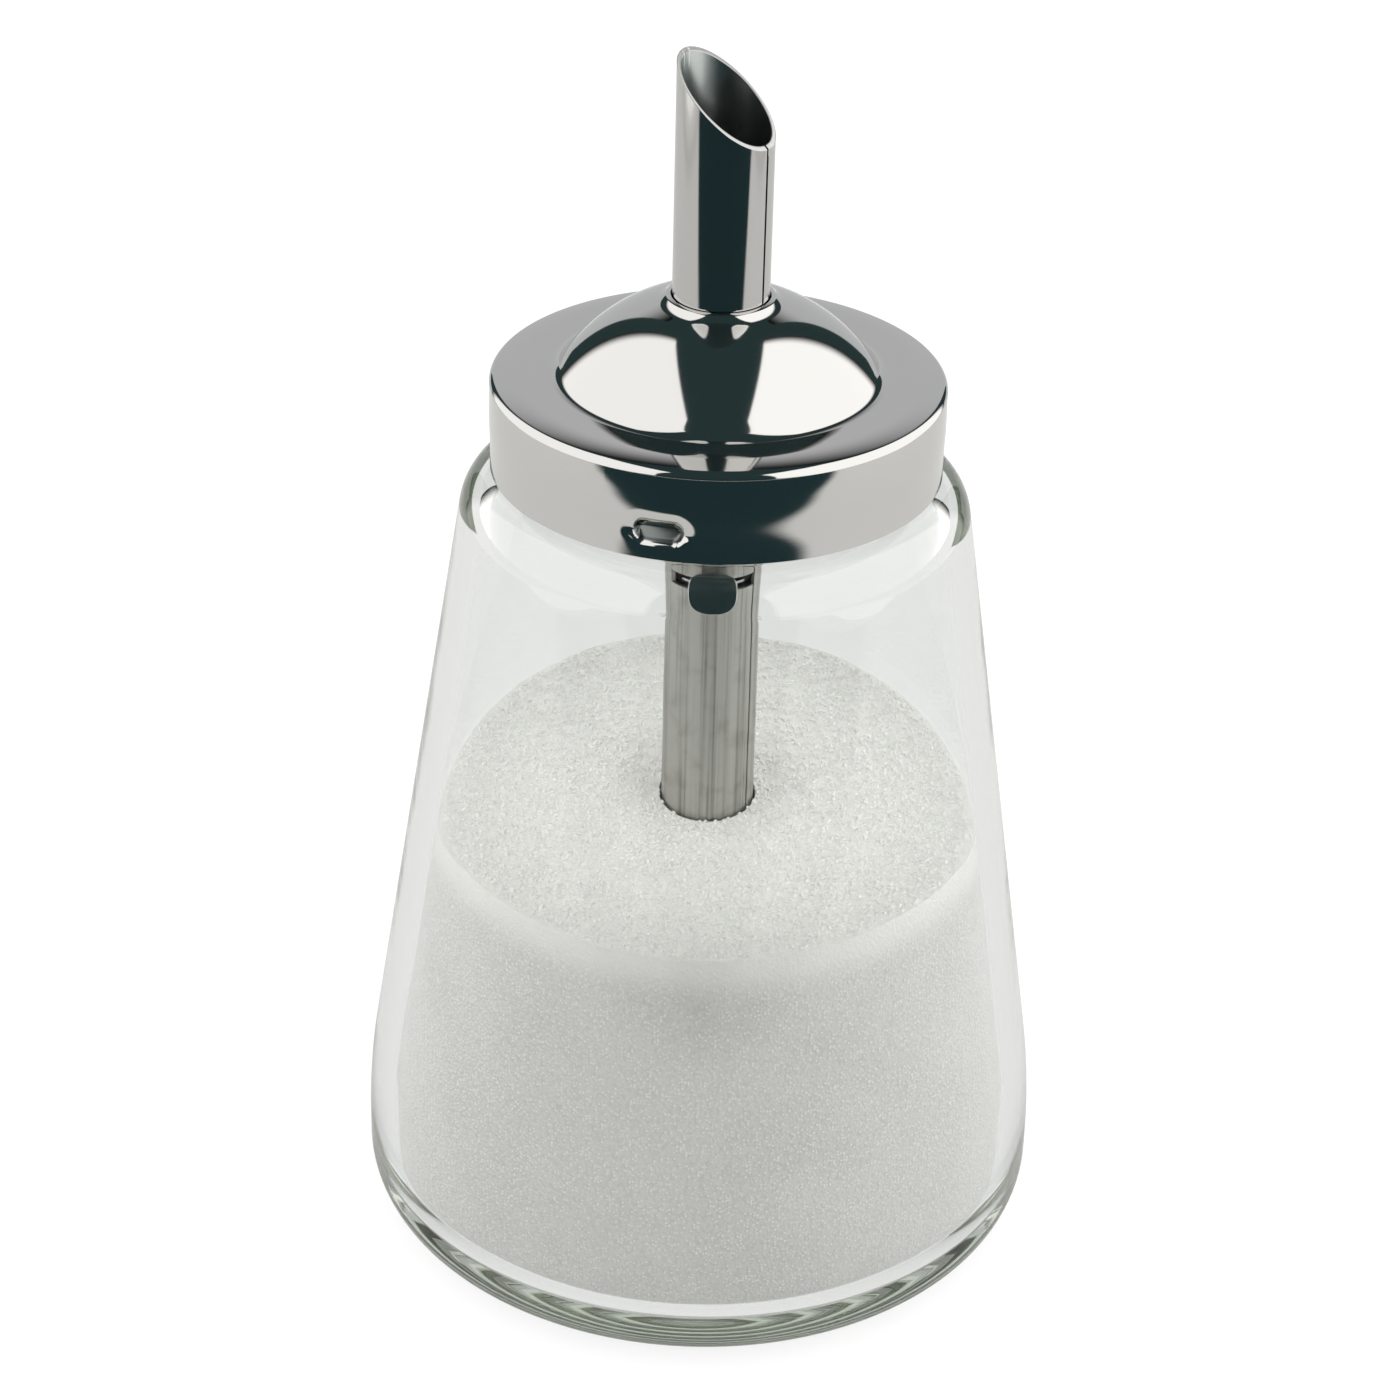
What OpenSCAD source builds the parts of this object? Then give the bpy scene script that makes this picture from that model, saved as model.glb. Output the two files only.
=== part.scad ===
// Table sugar dispenser: a tapered glass jar, a screw-on metal cap with a domed
// top, a rolled dosing spout through the cap and a small flap in the spout.
// Millimetres, +Z up, -Y towards the viewer. The origin is the centre of the base.

/* [Jar] */
// Largest outside radius, low on the jar
belly_r = 39.7; // [38:0.1:42]
// Height of the largest radius
belly_z = 9.5; // [8:0.1:14]
// Radius of the long curve between the belly and the straight cone
barrel_r = 82; // [70:1:100]
// How far the cone, carried up to the shoulder, stands out past the cap
shoulder_step = 2.7; // [2:0.1:4]
// Height of the shoulder that the neck stands on
shoulder_z = 94.4; // [90:0.2:100]
// Rounding from the cone to the shoulder
shoulder_round = 5; // [4:0.1:6]
// Rounding from the side to the base
heel_round = 7; // [5:0.1:8]
// Thickness of the glass side
wall_t = 3; // [2.5:0.1:3.5]
// Thickness of the glass at the flat of the shoulder
shoulder_t = 2.1; // [1.8:0.1:2.5]
// Thickness of the glass base over its bearing ring
base_t = 4.5; // [3.5:0.1:6]
// Rounding inside, from the side to the floor
floor_round = 5; // [4:0.1:7]
// Radius of the shallow hollow under the base
dish_r = 29; // [24:0.5:31]
// Depth of that hollow
dish_h = 1.6; // [1:0.1:2.2]

/* [Neck] */
// Outside radius of the neck, without its thread
neck_r = 22.6; // [22.3:0.1:22.8]
// Thickness of the neck's glass
neck_t = 2.8; // [2.4:0.1:4]
// Rounding on both edges of the rim
rim_round = 1; // [0.6:0.1:1.2]
// Height by which the thread ridges stand out of the neck
ridge_h = 1.2; // [0.9:0.05:1.35]
// Thickness of a ridge at its foot
ridge_t = 1.8; // [1.5:0.05:2]
// Angle that each ridge covers
ridge_span = 70; // [60:1:76]
// Rise of the thread in one full turn
lead = 9; // [6:0.5:10]

/* [Cap] */
// Gap between the thread ridges and the inside of the cap's skirt
thread_gap = 0.7; // [0.5:0.05:0.9]
// Height of the cap from its lower edge to its flat ring
cap_h = 10.8; // [10.4:0.1:11.6]
// Gap between the shoulder and the cap's lower edge
skirt_gap = 1; // [0.6:0.1:1.6]
// Thickness of the cap's sheet metal
sheet_t = 0.5; // [0.4:0.05:0.6]
// Rounding of the cap's upper edge
edge_round = 1.7; // [1.2:0.1:2.1]
// Width of the flat ring round the dome
ring_w = 7.2; // [6.4:0.1:8.5]
// Height of the full dome over the flat ring
dome_h = 9.5; // [8.5:0.1:10.5]
// Hollow rounding at the foot of the dome
dome_foot_round = 1.8; // [1:0.1:2.5]
// Hollow rounding where the dome turns up to the spout
lip_round = 1.6; // [1:0.1:2.2]
// Number of pressed lugs that run under the ridges
lug_n = 3; // [3:1:4]
// Length of a lug's hollow, seen from outside
lug_w = 7.4; // [6:0.1:8]
// Height of a lug's hollow
lug_h = 2.6; // [2.2:0.1:2.8]
// Gap between a lug's inner face and the neck
lug_clear = 0.5; // [0.35:0.05:0.7]
// Height of the lugs' middle over the cap's lower edge
lug_z = 2.9; // [2.4:0.1:3.1]
// Direction of the first lug, seen from above
lug_angle = -103.8; // [-110:0.2:-95]

/* [Seal] */
// Thickness of the seal between the rim and the cap
seal_t = 1.4; // [1:0.1:1.8]
// Width of the seal ring
seal_w = 3.6; // [3:0.1:4]

/* [Spout] */
// Outside radius of the spout tube
tube_r = 5.3; // [5:0.05:5.6]
// Thickness of the rolled sheet
tube_t = 0.45; // [0.35:0.05:0.6]
// Height of the middle of the slanting mouth over the cap's lower edge
mouth_z = 42; // [36:0.5:46]
// Slant of the mouth from the level
mouth_tilt = 40.3; // [30:0.1:48]
// Direction of the mouth's high side, seen from above
mouth_angle = 152.6; // [140:0.2:165]
// Clear height between the glass floor and the tube's lower end
foot_gap = 6; // [4:0.5:12]
// Width of the open seam along the tube
seam_w = 0.25; // [0.15:0.05:0.4]
// Direction of the seam, seen from above
seam_angle = -30; // [-34:0.5:-26]
// Wall of the ferrule that holds the tube in the dome
ferrule_t = 0.7; // [0.5:0.05:1]
// Length of the ferrule's sleeve below its flange
ferrule_h = 6; // [4:0.5:8]
// Radius of the ferrule's flange
flange_r = 9.6; // [8.5:0.1:11]

/* [Flap] */
// Depth of the slot's middle below the cap's lower edge
slot_z = 12.9; // [11:0.1:18]
// Height of the slot sawn across the tube
slot_h = 1.8; // [1.7:0.05:2.2]
// Angle from the front to each end of the slot
slot_angle = 60; // [52:1:66]
// Thickness of the flap's sheet metal
flap_t = 0.5; // [0.4:0.05:0.6]
// Radius of the flap's inner disc
disc_r = 4.4; // [4:0.05:4.45]
// Width of the neck that passes through the slot
flap_neck_w = 3.2; // [2.4:0.1:3.8]
// Width of the outer tongue
tongue_w = 5.4; // [4.8:0.1:6]
// Length of the outer tongue
tongue_h = 5.2; // [4.6:0.1:5.6]
// Rounding of the tongue's corners
tongue_round = 1.9; // [1:0.1:2.2]
// Lean of the tongue, with its upper edge against the tube
tongue_tilt = 20; // [16:1:24]

/* [Sugar] */
// Height of the sugar on the jar's axis
sugar_z = 54.7; // [30:0.5:62]
// Slope of the surface, down towards the front
sugar_tilt = 7.4; // [0:0.2:9]
// Radius of the hollow round the tube
crater_r = 12; // [9:0.5:14]
// Depth of that hollow
crater_h = 1; // [0.6:0.1:2.5]

/* [Clearances] */
// Gap between pieces that move past each other
run_gap = 0.3; // [0.25:0.05:0.4]
// Gap between faces that rest on each other
seat_gap = 0.05; // [0.02:0.01:0.1]
// Room over a lug's middle, so that its low corner clears the ridge
lug_gap = 0.6; // [0.5:0.05:0.75]

/* [Hidden] */
$fn = 96;
// Overlap of a cutting shape past the face that it cuts
over = 1;
front = -90;

// Radii that follow from the neck outwards
bore_r = neck_r - neck_t;
cap_r = neck_r + ridge_h + thread_gap + sheet_t;
lug_back = neck_r + lug_clear;
lug_depth = cap_r - sheet_t - lug_back;
dome_r = cap_r - ring_w;
shoulder_r = cap_r + shoulder_step;

// Heights
floor_z = base_t;
skirt_z = shoulder_z + skirt_gap;
cap_top = skirt_z + cap_h;
cap_under = cap_top - sheet_t;
neck_top = cap_under - seat_gap - seal_t;
mouth_top = skirt_z + mouth_z + tube_r * tan(mouth_tilt);
tube_foot = floor_z + foot_gap;
slot_mid = skirt_z - slot_z;
hinge_z = slot_mid - slot_h / 2 + run_gap + flap_t / 2;

// Jar outline: a barrel arc that starts upright at the belly and runs into a cone
barrel_c = belly_r - barrel_r;
taper = atan2(shoulder_z - belly_z, shoulder_r - barrel_c)
      - acos(barrel_r / norm([shoulder_r - barrel_c, shoulder_z - belly_z]));
dish_big_r = (dish_r * dish_r + dish_h * dish_h) / (2 * dish_h);
root_round = 0.8;
throat_round = 1.7;
throat_flat = 0.5;
ceiling_z = shoulder_z - shoulder_t;
// Rounding inside the shoulder: the largest that leaves the narrow flat at the throat
inner_shoulder_round = (barrel_r - wall_t - (ceiling_z - belly_z) * sin(taper)
    - (bore_r + throat_round + throat_flat - barrel_c) * cos(taper)) / (1 - sin(taper));
// Centre of the rounding between the floor and the inner barrel, and where they meet
floor_cz = floor_z + floor_round;
floor_reach = barrel_r - wall_t - floor_round;
floor_cr = barrel_c + sqrt(pow(floor_reach, 2) - pow(floor_cz - belly_z, 2));
floor_a = asin((floor_cz - belly_z) / floor_reach);

// Dome: a sphere cap over the flat ring, with a hollow fillet at its foot and lip
dome_big_r = (dome_r * dome_r + dome_h * dome_h) / (2 * dome_h);
dome_cz = cap_top + dome_h - dome_big_r;
foot_cz = cap_top + dome_foot_round;
foot_cr = sqrt(pow(dome_big_r + dome_foot_round, 2) - pow(foot_cz - dome_cz, 2));
foot_a = atan2(foot_cz - dome_cz, foot_cr);
lip_end_a = 20;
lip_gap = 0.15;
lip_cr = tube_r + lip_gap + (lip_round + sheet_t) * cos(lip_end_a);
lip_cz = dome_cz + sqrt(pow(dome_big_r + lip_round, 2) - lip_cr * lip_cr);
lip_a = atan2(lip_cz - dome_cz, lip_cr);

// Thread: the ridge's middle, seen from the lug that is seated below it
lug_half_a = asin((lug_w / 2 + sheet_t) / lug_back);
ridge_mid_a = ridge_span / 2 - lug_half_a;
ridge_slope = atan(lead / (2 * PI * (neck_r + ridge_h / 2)));
lug_top = skirt_z + lug_z + lug_h / 2 + sheet_t;
ridge_z = lug_top + lug_gap + ridge_t / 2 + lead * ridge_mid_a / 360;
ridge_crest_t = ridge_t / 2;

// Seal, inside the rounded corner of the cap
seal_r = cap_r - edge_round - run_gap;

// Flap
slot_front = tube_r * cos(slot_angle);
tongue_y = tube_r + run_gap + flap_t / 2 + tongue_h / 2 * sin(tongue_tilt);

function arc(cx, cz, r, a0, a1, n) =
    [for (i = [0:n]) let (a = a0 + (a1 - a0) * i / n) [cx + r * cos(a), cz + r * sin(a)]];

// Radius of the cone at height z, t inside the outer face
function cone_r(z, t) =
    barrel_c + (barrel_r - t - (z - belly_z) * sin(taper)) / cos(taper);

function outer_side() = concat(
    arc(belly_r - heel_round, heel_round, heel_round, -90, 0, 12),
    arc(barrel_c, belly_z, barrel_r, 0, taper, 6),
    arc(cone_r(shoulder_z - shoulder_round, shoulder_round),
        shoulder_z - shoulder_round, shoulder_round, taper, 90, 10));

function neck_outline() = concat(
    arc(neck_r + root_round, shoulder_z + root_round, root_round, 270, 180, 4),
    arc(neck_r - rim_round, neck_top - rim_round, rim_round, 0, 90, 5),
    arc(bore_r + rim_round, neck_top - rim_round, rim_round, 90, 180, 5),
    arc(bore_r + throat_round, ceiling_z + throat_round, throat_round, 180, 270, 6));

// Inner face of the jar below the throat, moved a further t inwards
function inner_side(t) = concat(
    arc(cone_r(ceiling_z - inner_shoulder_round, wall_t + inner_shoulder_round),
        ceiling_z - inner_shoulder_round, inner_shoulder_round - t, 90, taper, 7),
    arc(barrel_c, belly_z, barrel_r - wall_t - t, taper, floor_a, 6),
    arc(floor_cr, floor_cz, floor_round - t, floor_a, -90, 12));

function dish() =
    arc(0, dish_h - dish_big_r, dish_big_r, 90, 90 - asin(dish_r / dish_big_r), 8);

// Face of the cap's sheet, t below its outer face, from the skirt to the lip
function cap_face(t) = concat(
    [[cap_r - t, skirt_z]],
    arc(cap_r - edge_round, cap_top - edge_round, edge_round - t, 0, 90, 8),
    arc(foot_cr, foot_cz, dome_foot_round + t, 270, 180 + foot_a, 6),
    arc(0, dome_cz, dome_big_r - t, foot_a, lip_a, 12),
    arc(lip_cr, lip_cz, lip_round + t, 180 + lip_a, 180 + lip_end_a, 6));

function reversed(list) = [for (i = [len(list) - 1:-1:0]) list[i]];

module thread_ridge() {
    rotate([ridge_slope, 0, 0])
        rotate([0, 0, -ridge_span / 2])
            rotate_extrude(angle = ridge_span)
                polygon([[neck_r - rim_round, -ridge_t / 2],
                         [neck_r + ridge_h, -ridge_crest_t / 2],
                         [neck_r + ridge_h, ridge_crest_t / 2],
                         [neck_r - rim_round, ridge_t / 2]]);
}

module glass_jar() {
    color([0.86, 0.92, 0.91, 0.45])
        union() {
            rotate_extrude()
                polygon(concat(dish(), outer_side(), neck_outline(), inner_side(0),
                               [[0, floor_z]]));
            for (i = [0:lug_n - 1])
                rotate([0, 0, lug_angle + ridge_mid_a + i * 360 / lug_n])
                    translate([0, 0, ridge_z])
                        thread_ridge();
        }
}

module sugar_fill() {
    color([0.97, 0.96, 0.93])
        difference() {
            rotate_extrude()
                polygon(concat([[0, ceiling_z]], inner_side(run_gap), [[0, floor_z + run_gap]]));
            // sloping surface
            translate([0, 0, sugar_z])
                rotate([sugar_tilt, 0, 0])
                    translate([-2 * belly_r, -2 * belly_r, 0])
                        cube([4 * belly_r, 4 * belly_r, 2 * shoulder_z]);
            // hollow round the tube
            translate([0, 0, sugar_z - crater_h])
                cylinder(h = 2 * crater_h, r1 = tube_r + run_gap, r2 = 2 * crater_r - tube_r);
            translate([0, 0, tube_foot - run_gap])
                cylinder(h = shoulder_z, r = tube_r + run_gap);
        }
}

module seal_ring() {
    color([0.9, 0.9, 0.86])
        translate([0, 0, neck_top])
            difference() {
                cylinder(h = seal_t, r = seal_r);
                translate([0, 0, -over])
                    cylinder(h = seal_t + 2 * over, r = seal_r - seal_w);
            }
}

// Rounded slab that stands out along -Y, its back face at y = 0
module lug_slab(length, height, depth) {
    rotate([90, 0, 0])
        linear_extrude(height = depth) {
            square([length - height, height], center = true);
            for (side = [-1, 1])
                translate([side * (length - height) / 2, 0])
                    circle(d = height);
        }
}

module each_lug() {
    for (i = [0:lug_n - 1])
        rotate([0, 0, lug_angle - front + i * 360 / lug_n])
            translate([0, 0, skirt_z + lug_z])
                children();
}

module cap_shell() {
    color([0.78, 0.78, 0.77])
        difference() {
            union() {
                rotate_extrude()
                    polygon(concat(cap_face(0), reversed(cap_face(sheet_t))));
                intersection() {
                    each_lug()
                        translate([0, -lug_back, 0])
                            lug_slab(lug_w + 2 * sheet_t, lug_h + 2 * sheet_t, 2 * lug_depth);
                    translate([0, 0, skirt_z])
                        cylinder(h = cap_h - edge_round, r = cap_r - sheet_t / 2);
                }
            }
            each_lug()
                translate([0, -lug_back - sheet_t, 0])
                    lug_slab(lug_w, lug_h, 2 * lug_depth);
        }
}

// Pressed collar under the dome: a flange that follows it and a sleeve on the tube
module tube_ferrule() {
    flange_top = dome_big_r - sheet_t - seat_gap;
    sleeve_r = tube_r + seat_gap;
    sleeve_a = acos((sleeve_r + ferrule_t) / (flange_top - ferrule_t));
    flange_a = acos(flange_r / flange_top);
    low_z = dome_cz + (flange_top - ferrule_t) * sin(sleeve_a) - ferrule_h;
    top_a = acos((lip_cr - lip_round / 2) / flange_top);
    color([0.66, 0.66, 0.64])
        rotate_extrude()
            polygon(concat(
                [[sleeve_r, low_z], [sleeve_r + ferrule_t, low_z]],
                arc(0, dome_cz, flange_top - ferrule_t, sleeve_a, flange_a, 4),
                arc(0, dome_cz, flange_top, flange_a, top_a, 4),
                [[sleeve_r, dome_cz + flange_top * sin(top_a)]]));
}

module spout_tube() {
    color([0.8, 0.8, 0.79])
        difference() {
            translate([0, 0, tube_foot])
                cylinder(h = mouth_top - tube_foot + over, r = tube_r);
            translate([0, 0, tube_foot - over])
                cylinder(h = mouth_top - tube_foot + 3 * over, r = tube_r - tube_t);
            // slanting mouth, high towards mouth_angle
            translate([0, 0, skirt_z + mouth_z])
                rotate([0, 0, mouth_angle])
                    rotate([0, -mouth_tilt, 0])
                        translate([-4 * tube_r, -4 * tube_r, 0])
                            cube([8 * tube_r, 8 * tube_r, 8 * tube_r]);
            // open seam of the rolled sheet
            rotate([0, 0, seam_angle])
                translate([0, -seam_w / 2, 0])
                    cube([2 * tube_r, seam_w, 2 * mouth_top]);
            // slot for the flap
            translate([-2 * tube_r, -2 * tube_r - slot_front, slot_mid - slot_h / 2])
                cube([4 * tube_r, 2 * tube_r, slot_h]);
        }
}

module spout_flap() {
    color([0.3, 0.36, 0.38])
        union() {
            translate([0, 0, hinge_z - flap_t / 2])
                cylinder(h = flap_t, r = disc_r);
            translate([-flap_neck_w / 2, -tongue_y, hinge_z - flap_t / 2])
                cube([flap_neck_w, tongue_y - disc_r / 2, flap_t]);
            translate([0, -tongue_y, hinge_z])
                rotate([90 - tongue_tilt, 0, 0])
                    linear_extrude(height = flap_t, center = true)
                        tongue_outline();
        }
}

module tongue_outline() {
    flat_w = tongue_w - 2 * tongue_round;
    flat_h = tongue_h - 2 * tongue_round;
    square([tongue_w, flat_h], center = true);
    square([flat_w, tongue_h], center = true);
    for (x = [-1, 1])
        for (y = [-1, 1])
            translate([x * flat_w / 2, y * flat_h / 2])
                circle(r = tongue_round);
}

glass_jar();
sugar_fill();
seal_ring();
cap_shell();
tube_ferrule();
spout_tube();
spout_flap();
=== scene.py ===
import logging
import math
from collections.abc import Sequence
from dataclasses import dataclass
from enum import Enum

import bmesh
import bpy
import numpy as np
from mathutils import Matrix, Vector, noise


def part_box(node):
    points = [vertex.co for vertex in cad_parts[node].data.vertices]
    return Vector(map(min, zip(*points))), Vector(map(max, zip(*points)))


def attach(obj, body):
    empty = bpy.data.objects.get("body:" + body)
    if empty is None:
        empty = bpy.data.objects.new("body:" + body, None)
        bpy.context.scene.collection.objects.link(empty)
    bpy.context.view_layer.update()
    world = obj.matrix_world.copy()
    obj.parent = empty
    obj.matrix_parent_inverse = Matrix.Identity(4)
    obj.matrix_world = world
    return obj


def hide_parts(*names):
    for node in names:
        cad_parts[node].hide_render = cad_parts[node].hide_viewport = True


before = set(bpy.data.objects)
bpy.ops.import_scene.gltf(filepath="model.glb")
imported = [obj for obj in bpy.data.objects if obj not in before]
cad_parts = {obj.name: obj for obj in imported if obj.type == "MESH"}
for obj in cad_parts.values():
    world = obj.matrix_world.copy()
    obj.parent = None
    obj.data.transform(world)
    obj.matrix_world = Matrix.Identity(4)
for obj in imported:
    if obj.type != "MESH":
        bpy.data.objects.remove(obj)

log = logging.getLogger("sugar_dispenser")

# A millimetre in metres, a quarter turn in radians, and the photograph's side in pixels
MM = 0.001
QUARTER = math.pi / 2.0
IMAGE_SIDE = 1391
# Angles in degrees past which an edge of a smooth mesh stays sharp, or is bevelled
CREASE = 35.0
BEVEL_ANGLE = 50.0
# Points nearer than this are one point
SAME_POINT = 1e-7

Span = tuple[float, float]
Point = tuple[float, float]
Outline = list[Point]
Corners = tuple[tuple[float, float, float], ...]
Colour = tuple[float, float, float, float]

WHITE: Colour = (1.0, 1.0, 1.0, 1.0)


class Body(Enum):
    """The moving bodies that the pieces made here ride on."""

    JAR = "jar"
    CAP = "cap"
    FLAP = "flap"


class Slot(Enum):
    """The record's material slots that go with the pieces made here; they are passed along but not used."""

    GLASS = "clear_glass"
    SUGAR = "white_sugar"
    CAP = "polished_cap"
    TUBE = "polished_tube"
    FLAP = "polished_flap"


# Shader maths


class Wire:
    """A shader socket whose arithmetic adds Math nodes to its tree."""

    def __init__(self, graph: "Graph", socket: bpy.types.NodeSocket) -> None:
        """Wraps one output socket of a graph."""
        self.graph = graph
        self.socket = socket

    def _math(self, operation: str, *parts: "Wire | float") -> "Wire":
        """Joins the parts in one Math node."""
        return self.graph.wire("ShaderNodeMath", {"operation": operation}, dict(enumerate(parts)))

    def __add__(self, other: "Wire | float") -> "Wire":
        """Sum."""
        return self._math("ADD", self, other)

    __radd__ = __add__

    def __sub__(self, other: "Wire | float") -> "Wire":
        """Difference."""
        return self._math("SUBTRACT", self, other)

    def __rsub__(self, other: float) -> "Wire":
        """Difference with a number in front."""
        return self._math("SUBTRACT", other, self)

    def __mul__(self, other: "Wire | float") -> "Wire":
        """Product."""
        return self._math("MULTIPLY", self, other)

    __rmul__ = __mul__

    def __truediv__(self, other: "Wire | float") -> "Wire":
        """Quotient."""
        return self._math("DIVIDE", self, other)

    def __rtruediv__(self, other: float) -> "Wire":
        """Quotient with a number in front."""
        return self._math("DIVIDE", other, self)

    def __pow__(self, other: float) -> "Wire":
        """Power."""
        return self._math("POWER", self, other)

    def least(self, other: "Wire | float") -> "Wire":
        """The smaller of two values."""
        return self._math("MINIMUM", self, other)

    def most(self, other: "Wire | float") -> "Wire":
        """The larger of two values."""
        return self._math("MAXIMUM", self, other)

    def size(self) -> "Wire":
        """The value without its sign."""
        return self._math("ABSOLUTE", self)

    def direction(self, x: "Wire") -> "Wire":
        """Angle of a point from the x axis, where this value is its y."""
        return self._math("ARCTAN2", self, x)

    def folded(self, span: "Wire | float") -> "Wire":
        """What is left over after whole spans, never less than nothing."""
        return self._math("FLOORED_MODULO", self, span)

    def step(self, low: float, high: float, start: float = 0.0, end: float = 1.0) -> "Wire":
        """Blends smoothly from start to end while the value goes from low to high.

        Args:
            low: Value at which the blend begins.
            high: Value at which it ends.
            start: Result below low.
            end: Result above high.

        Returns:
            The blended value.
        """
        settings = {"interpolation_type": "SMOOTHSTEP"}
        inputs = {0: self, 1: low, 2: high, 3: start, 4: end}
        return self.graph.wire("ShaderNodeMapRange", settings, inputs)


class Graph:
    """Builds one node tree from node types, settings and socket values."""

    def __init__(self, tree: bpy.types.NodeTree) -> None:
        """Empties the tree and takes it over."""
        self.tree = tree
        self.tree.nodes.clear()

    def node(self, kind: str, settings: dict | None = None, inputs: dict | None = None) -> bpy.types.Node:
        """Adds one node.

        Args:
            kind: The node's type.
            settings: The node's properties, set before its sockets.
            inputs: Values or wires, by the socket's name or number.

        Returns:
            The new node.
        """
        made = self.tree.nodes.new(kind)
        for name, value in (settings or {}).items():
            setattr(made, name, value)
        for key, value in (inputs or {}).items():
            if isinstance(value, Wire):
                self.tree.links.new(value.socket, made.inputs[key])
            else:
                made.inputs[key].default_value = value
        return made

    def wire(self, kind: str, settings: dict | None = None, inputs: dict | None = None,
             output: int | str = 0) -> Wire:
        """Adds one node and wraps one of its outputs."""
        return Wire(self, self.node(kind, settings, inputs).outputs[output])

    def place(self) -> Wire:
        """The point on the piece, in metres."""
        return self.wire("ShaderNodeTexCoord", output="Object")

    def split(self, vector: Wire) -> tuple[Wire, Wire, Wire]:
        """A vector's three coordinates."""
        parts = self.node("ShaderNodeSeparateXYZ", inputs={0: vector}).outputs
        return Wire(self, parts[0]), Wire(self, parts[1]), Wire(self, parts[2])

    def vector(self, x: Wire | float, y: Wire | float, z: Wire | float) -> Wire:
        """Three values as one vector."""
        return self.wire("ShaderNodeCombineXYZ", inputs={0: x, 1: y, 2: z})

    def grain(self, where: Wire, scale: float, detail: float) -> Wire:
        """Noise from 0 to 1 with features of about 1 / scale metres."""
        inputs = {"Vector": where, "Scale": scale, "Detail": detail}
        return self.wire("ShaderNodeTexNoise", inputs=inputs)

    def cells(self, where: Wire, scale: float, output: str) -> Wire:
        """One output of a cell pattern with cells of about 1 / scale metres."""
        return self.wire("ShaderNodeTexVoronoi", inputs={"Vector": where, "Scale": scale}, output=output)

    def ray(self, fact: str) -> Wire:
        """What the render says of the ray that arrives, such as whether the camera sent it."""
        return self.wire("ShaderNodeLightPath", output=fact)

    def mix(self, share: Wire | float, first: Wire | Colour, second: Wire | Colour) -> Wire:
        """Mixes two colours."""
        inputs = {0: share, 6: first, 7: second}
        return self.wire("ShaderNodeMix", {"data_type": "RGBA"}, inputs, output=2)

    def relief(self, height: Wire, depth: float, strength: float = 1.0) -> Wire:
        """A normal that follows a height from 0 to 1 over depth metres."""
        inputs = {"Height": height, "Distance": depth, "Strength": strength}
        return self.wire("ShaderNodeBump", inputs=inputs)

    def principled(self, inputs: dict) -> Wire:
        """One Principled shader with these values or wires."""
        return self.wire("ShaderNodeBsdfPrincipled", inputs=inputs)

    def surface(self, shader: Wire) -> None:
        """Ends a material's graph in its surface output."""
        self.node("ShaderNodeOutputMaterial", inputs={"Surface": shader})


def new_material(name: str) -> tuple[bpy.types.Material, Graph]:
    """Makes an empty material.

    Args:
        name: Name of the material.

    Returns:
        The material and its graph.
    """
    made = bpy.data.materials.new(name)
    made.use_nodes = True
    return made, Graph(made.node_tree)


# Finishes


@dataclass(frozen=True)
class ClearGlass:
    """Pressed soda glass: clear, faintly green, with the gentle waves of its mould."""

    tint: Colour = (0.99, 0.995, 0.99, 1.0)
    index: float = 1.5
    depth_tint: Colour = (0.75, 0.79, 0.715, 1.0)
    depth_rate: float = 24.0
    wave_scale: float = 55.0
    wave_depth: float = 0.05 * MM
    wave_detail: float = 1.0

    def make(self) -> bpy.types.Material:
        """Builds the material.

        Returns:
            The finished material.
        """
        made, graph = new_material("clear_glass_look")
        wave = graph.grain(graph.place(), self.wave_scale, self.wave_detail)
        surface = graph.principled({
            "Base Color": self.tint,
            "Roughness": 0.0,
            "IOR": self.index,
            "Transmission Weight": 1.0,
            "Normal": graph.relief(wave, self.wave_depth),
        })
        inside = graph.wire("ShaderNodeVolumeAbsorption",
                            inputs={"Color": self.depth_tint, "Density": self.depth_rate})
        graph.node("ShaderNodeOutputMaterial", inputs={"Surface": surface, "Volume": inside})
        return made


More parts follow.
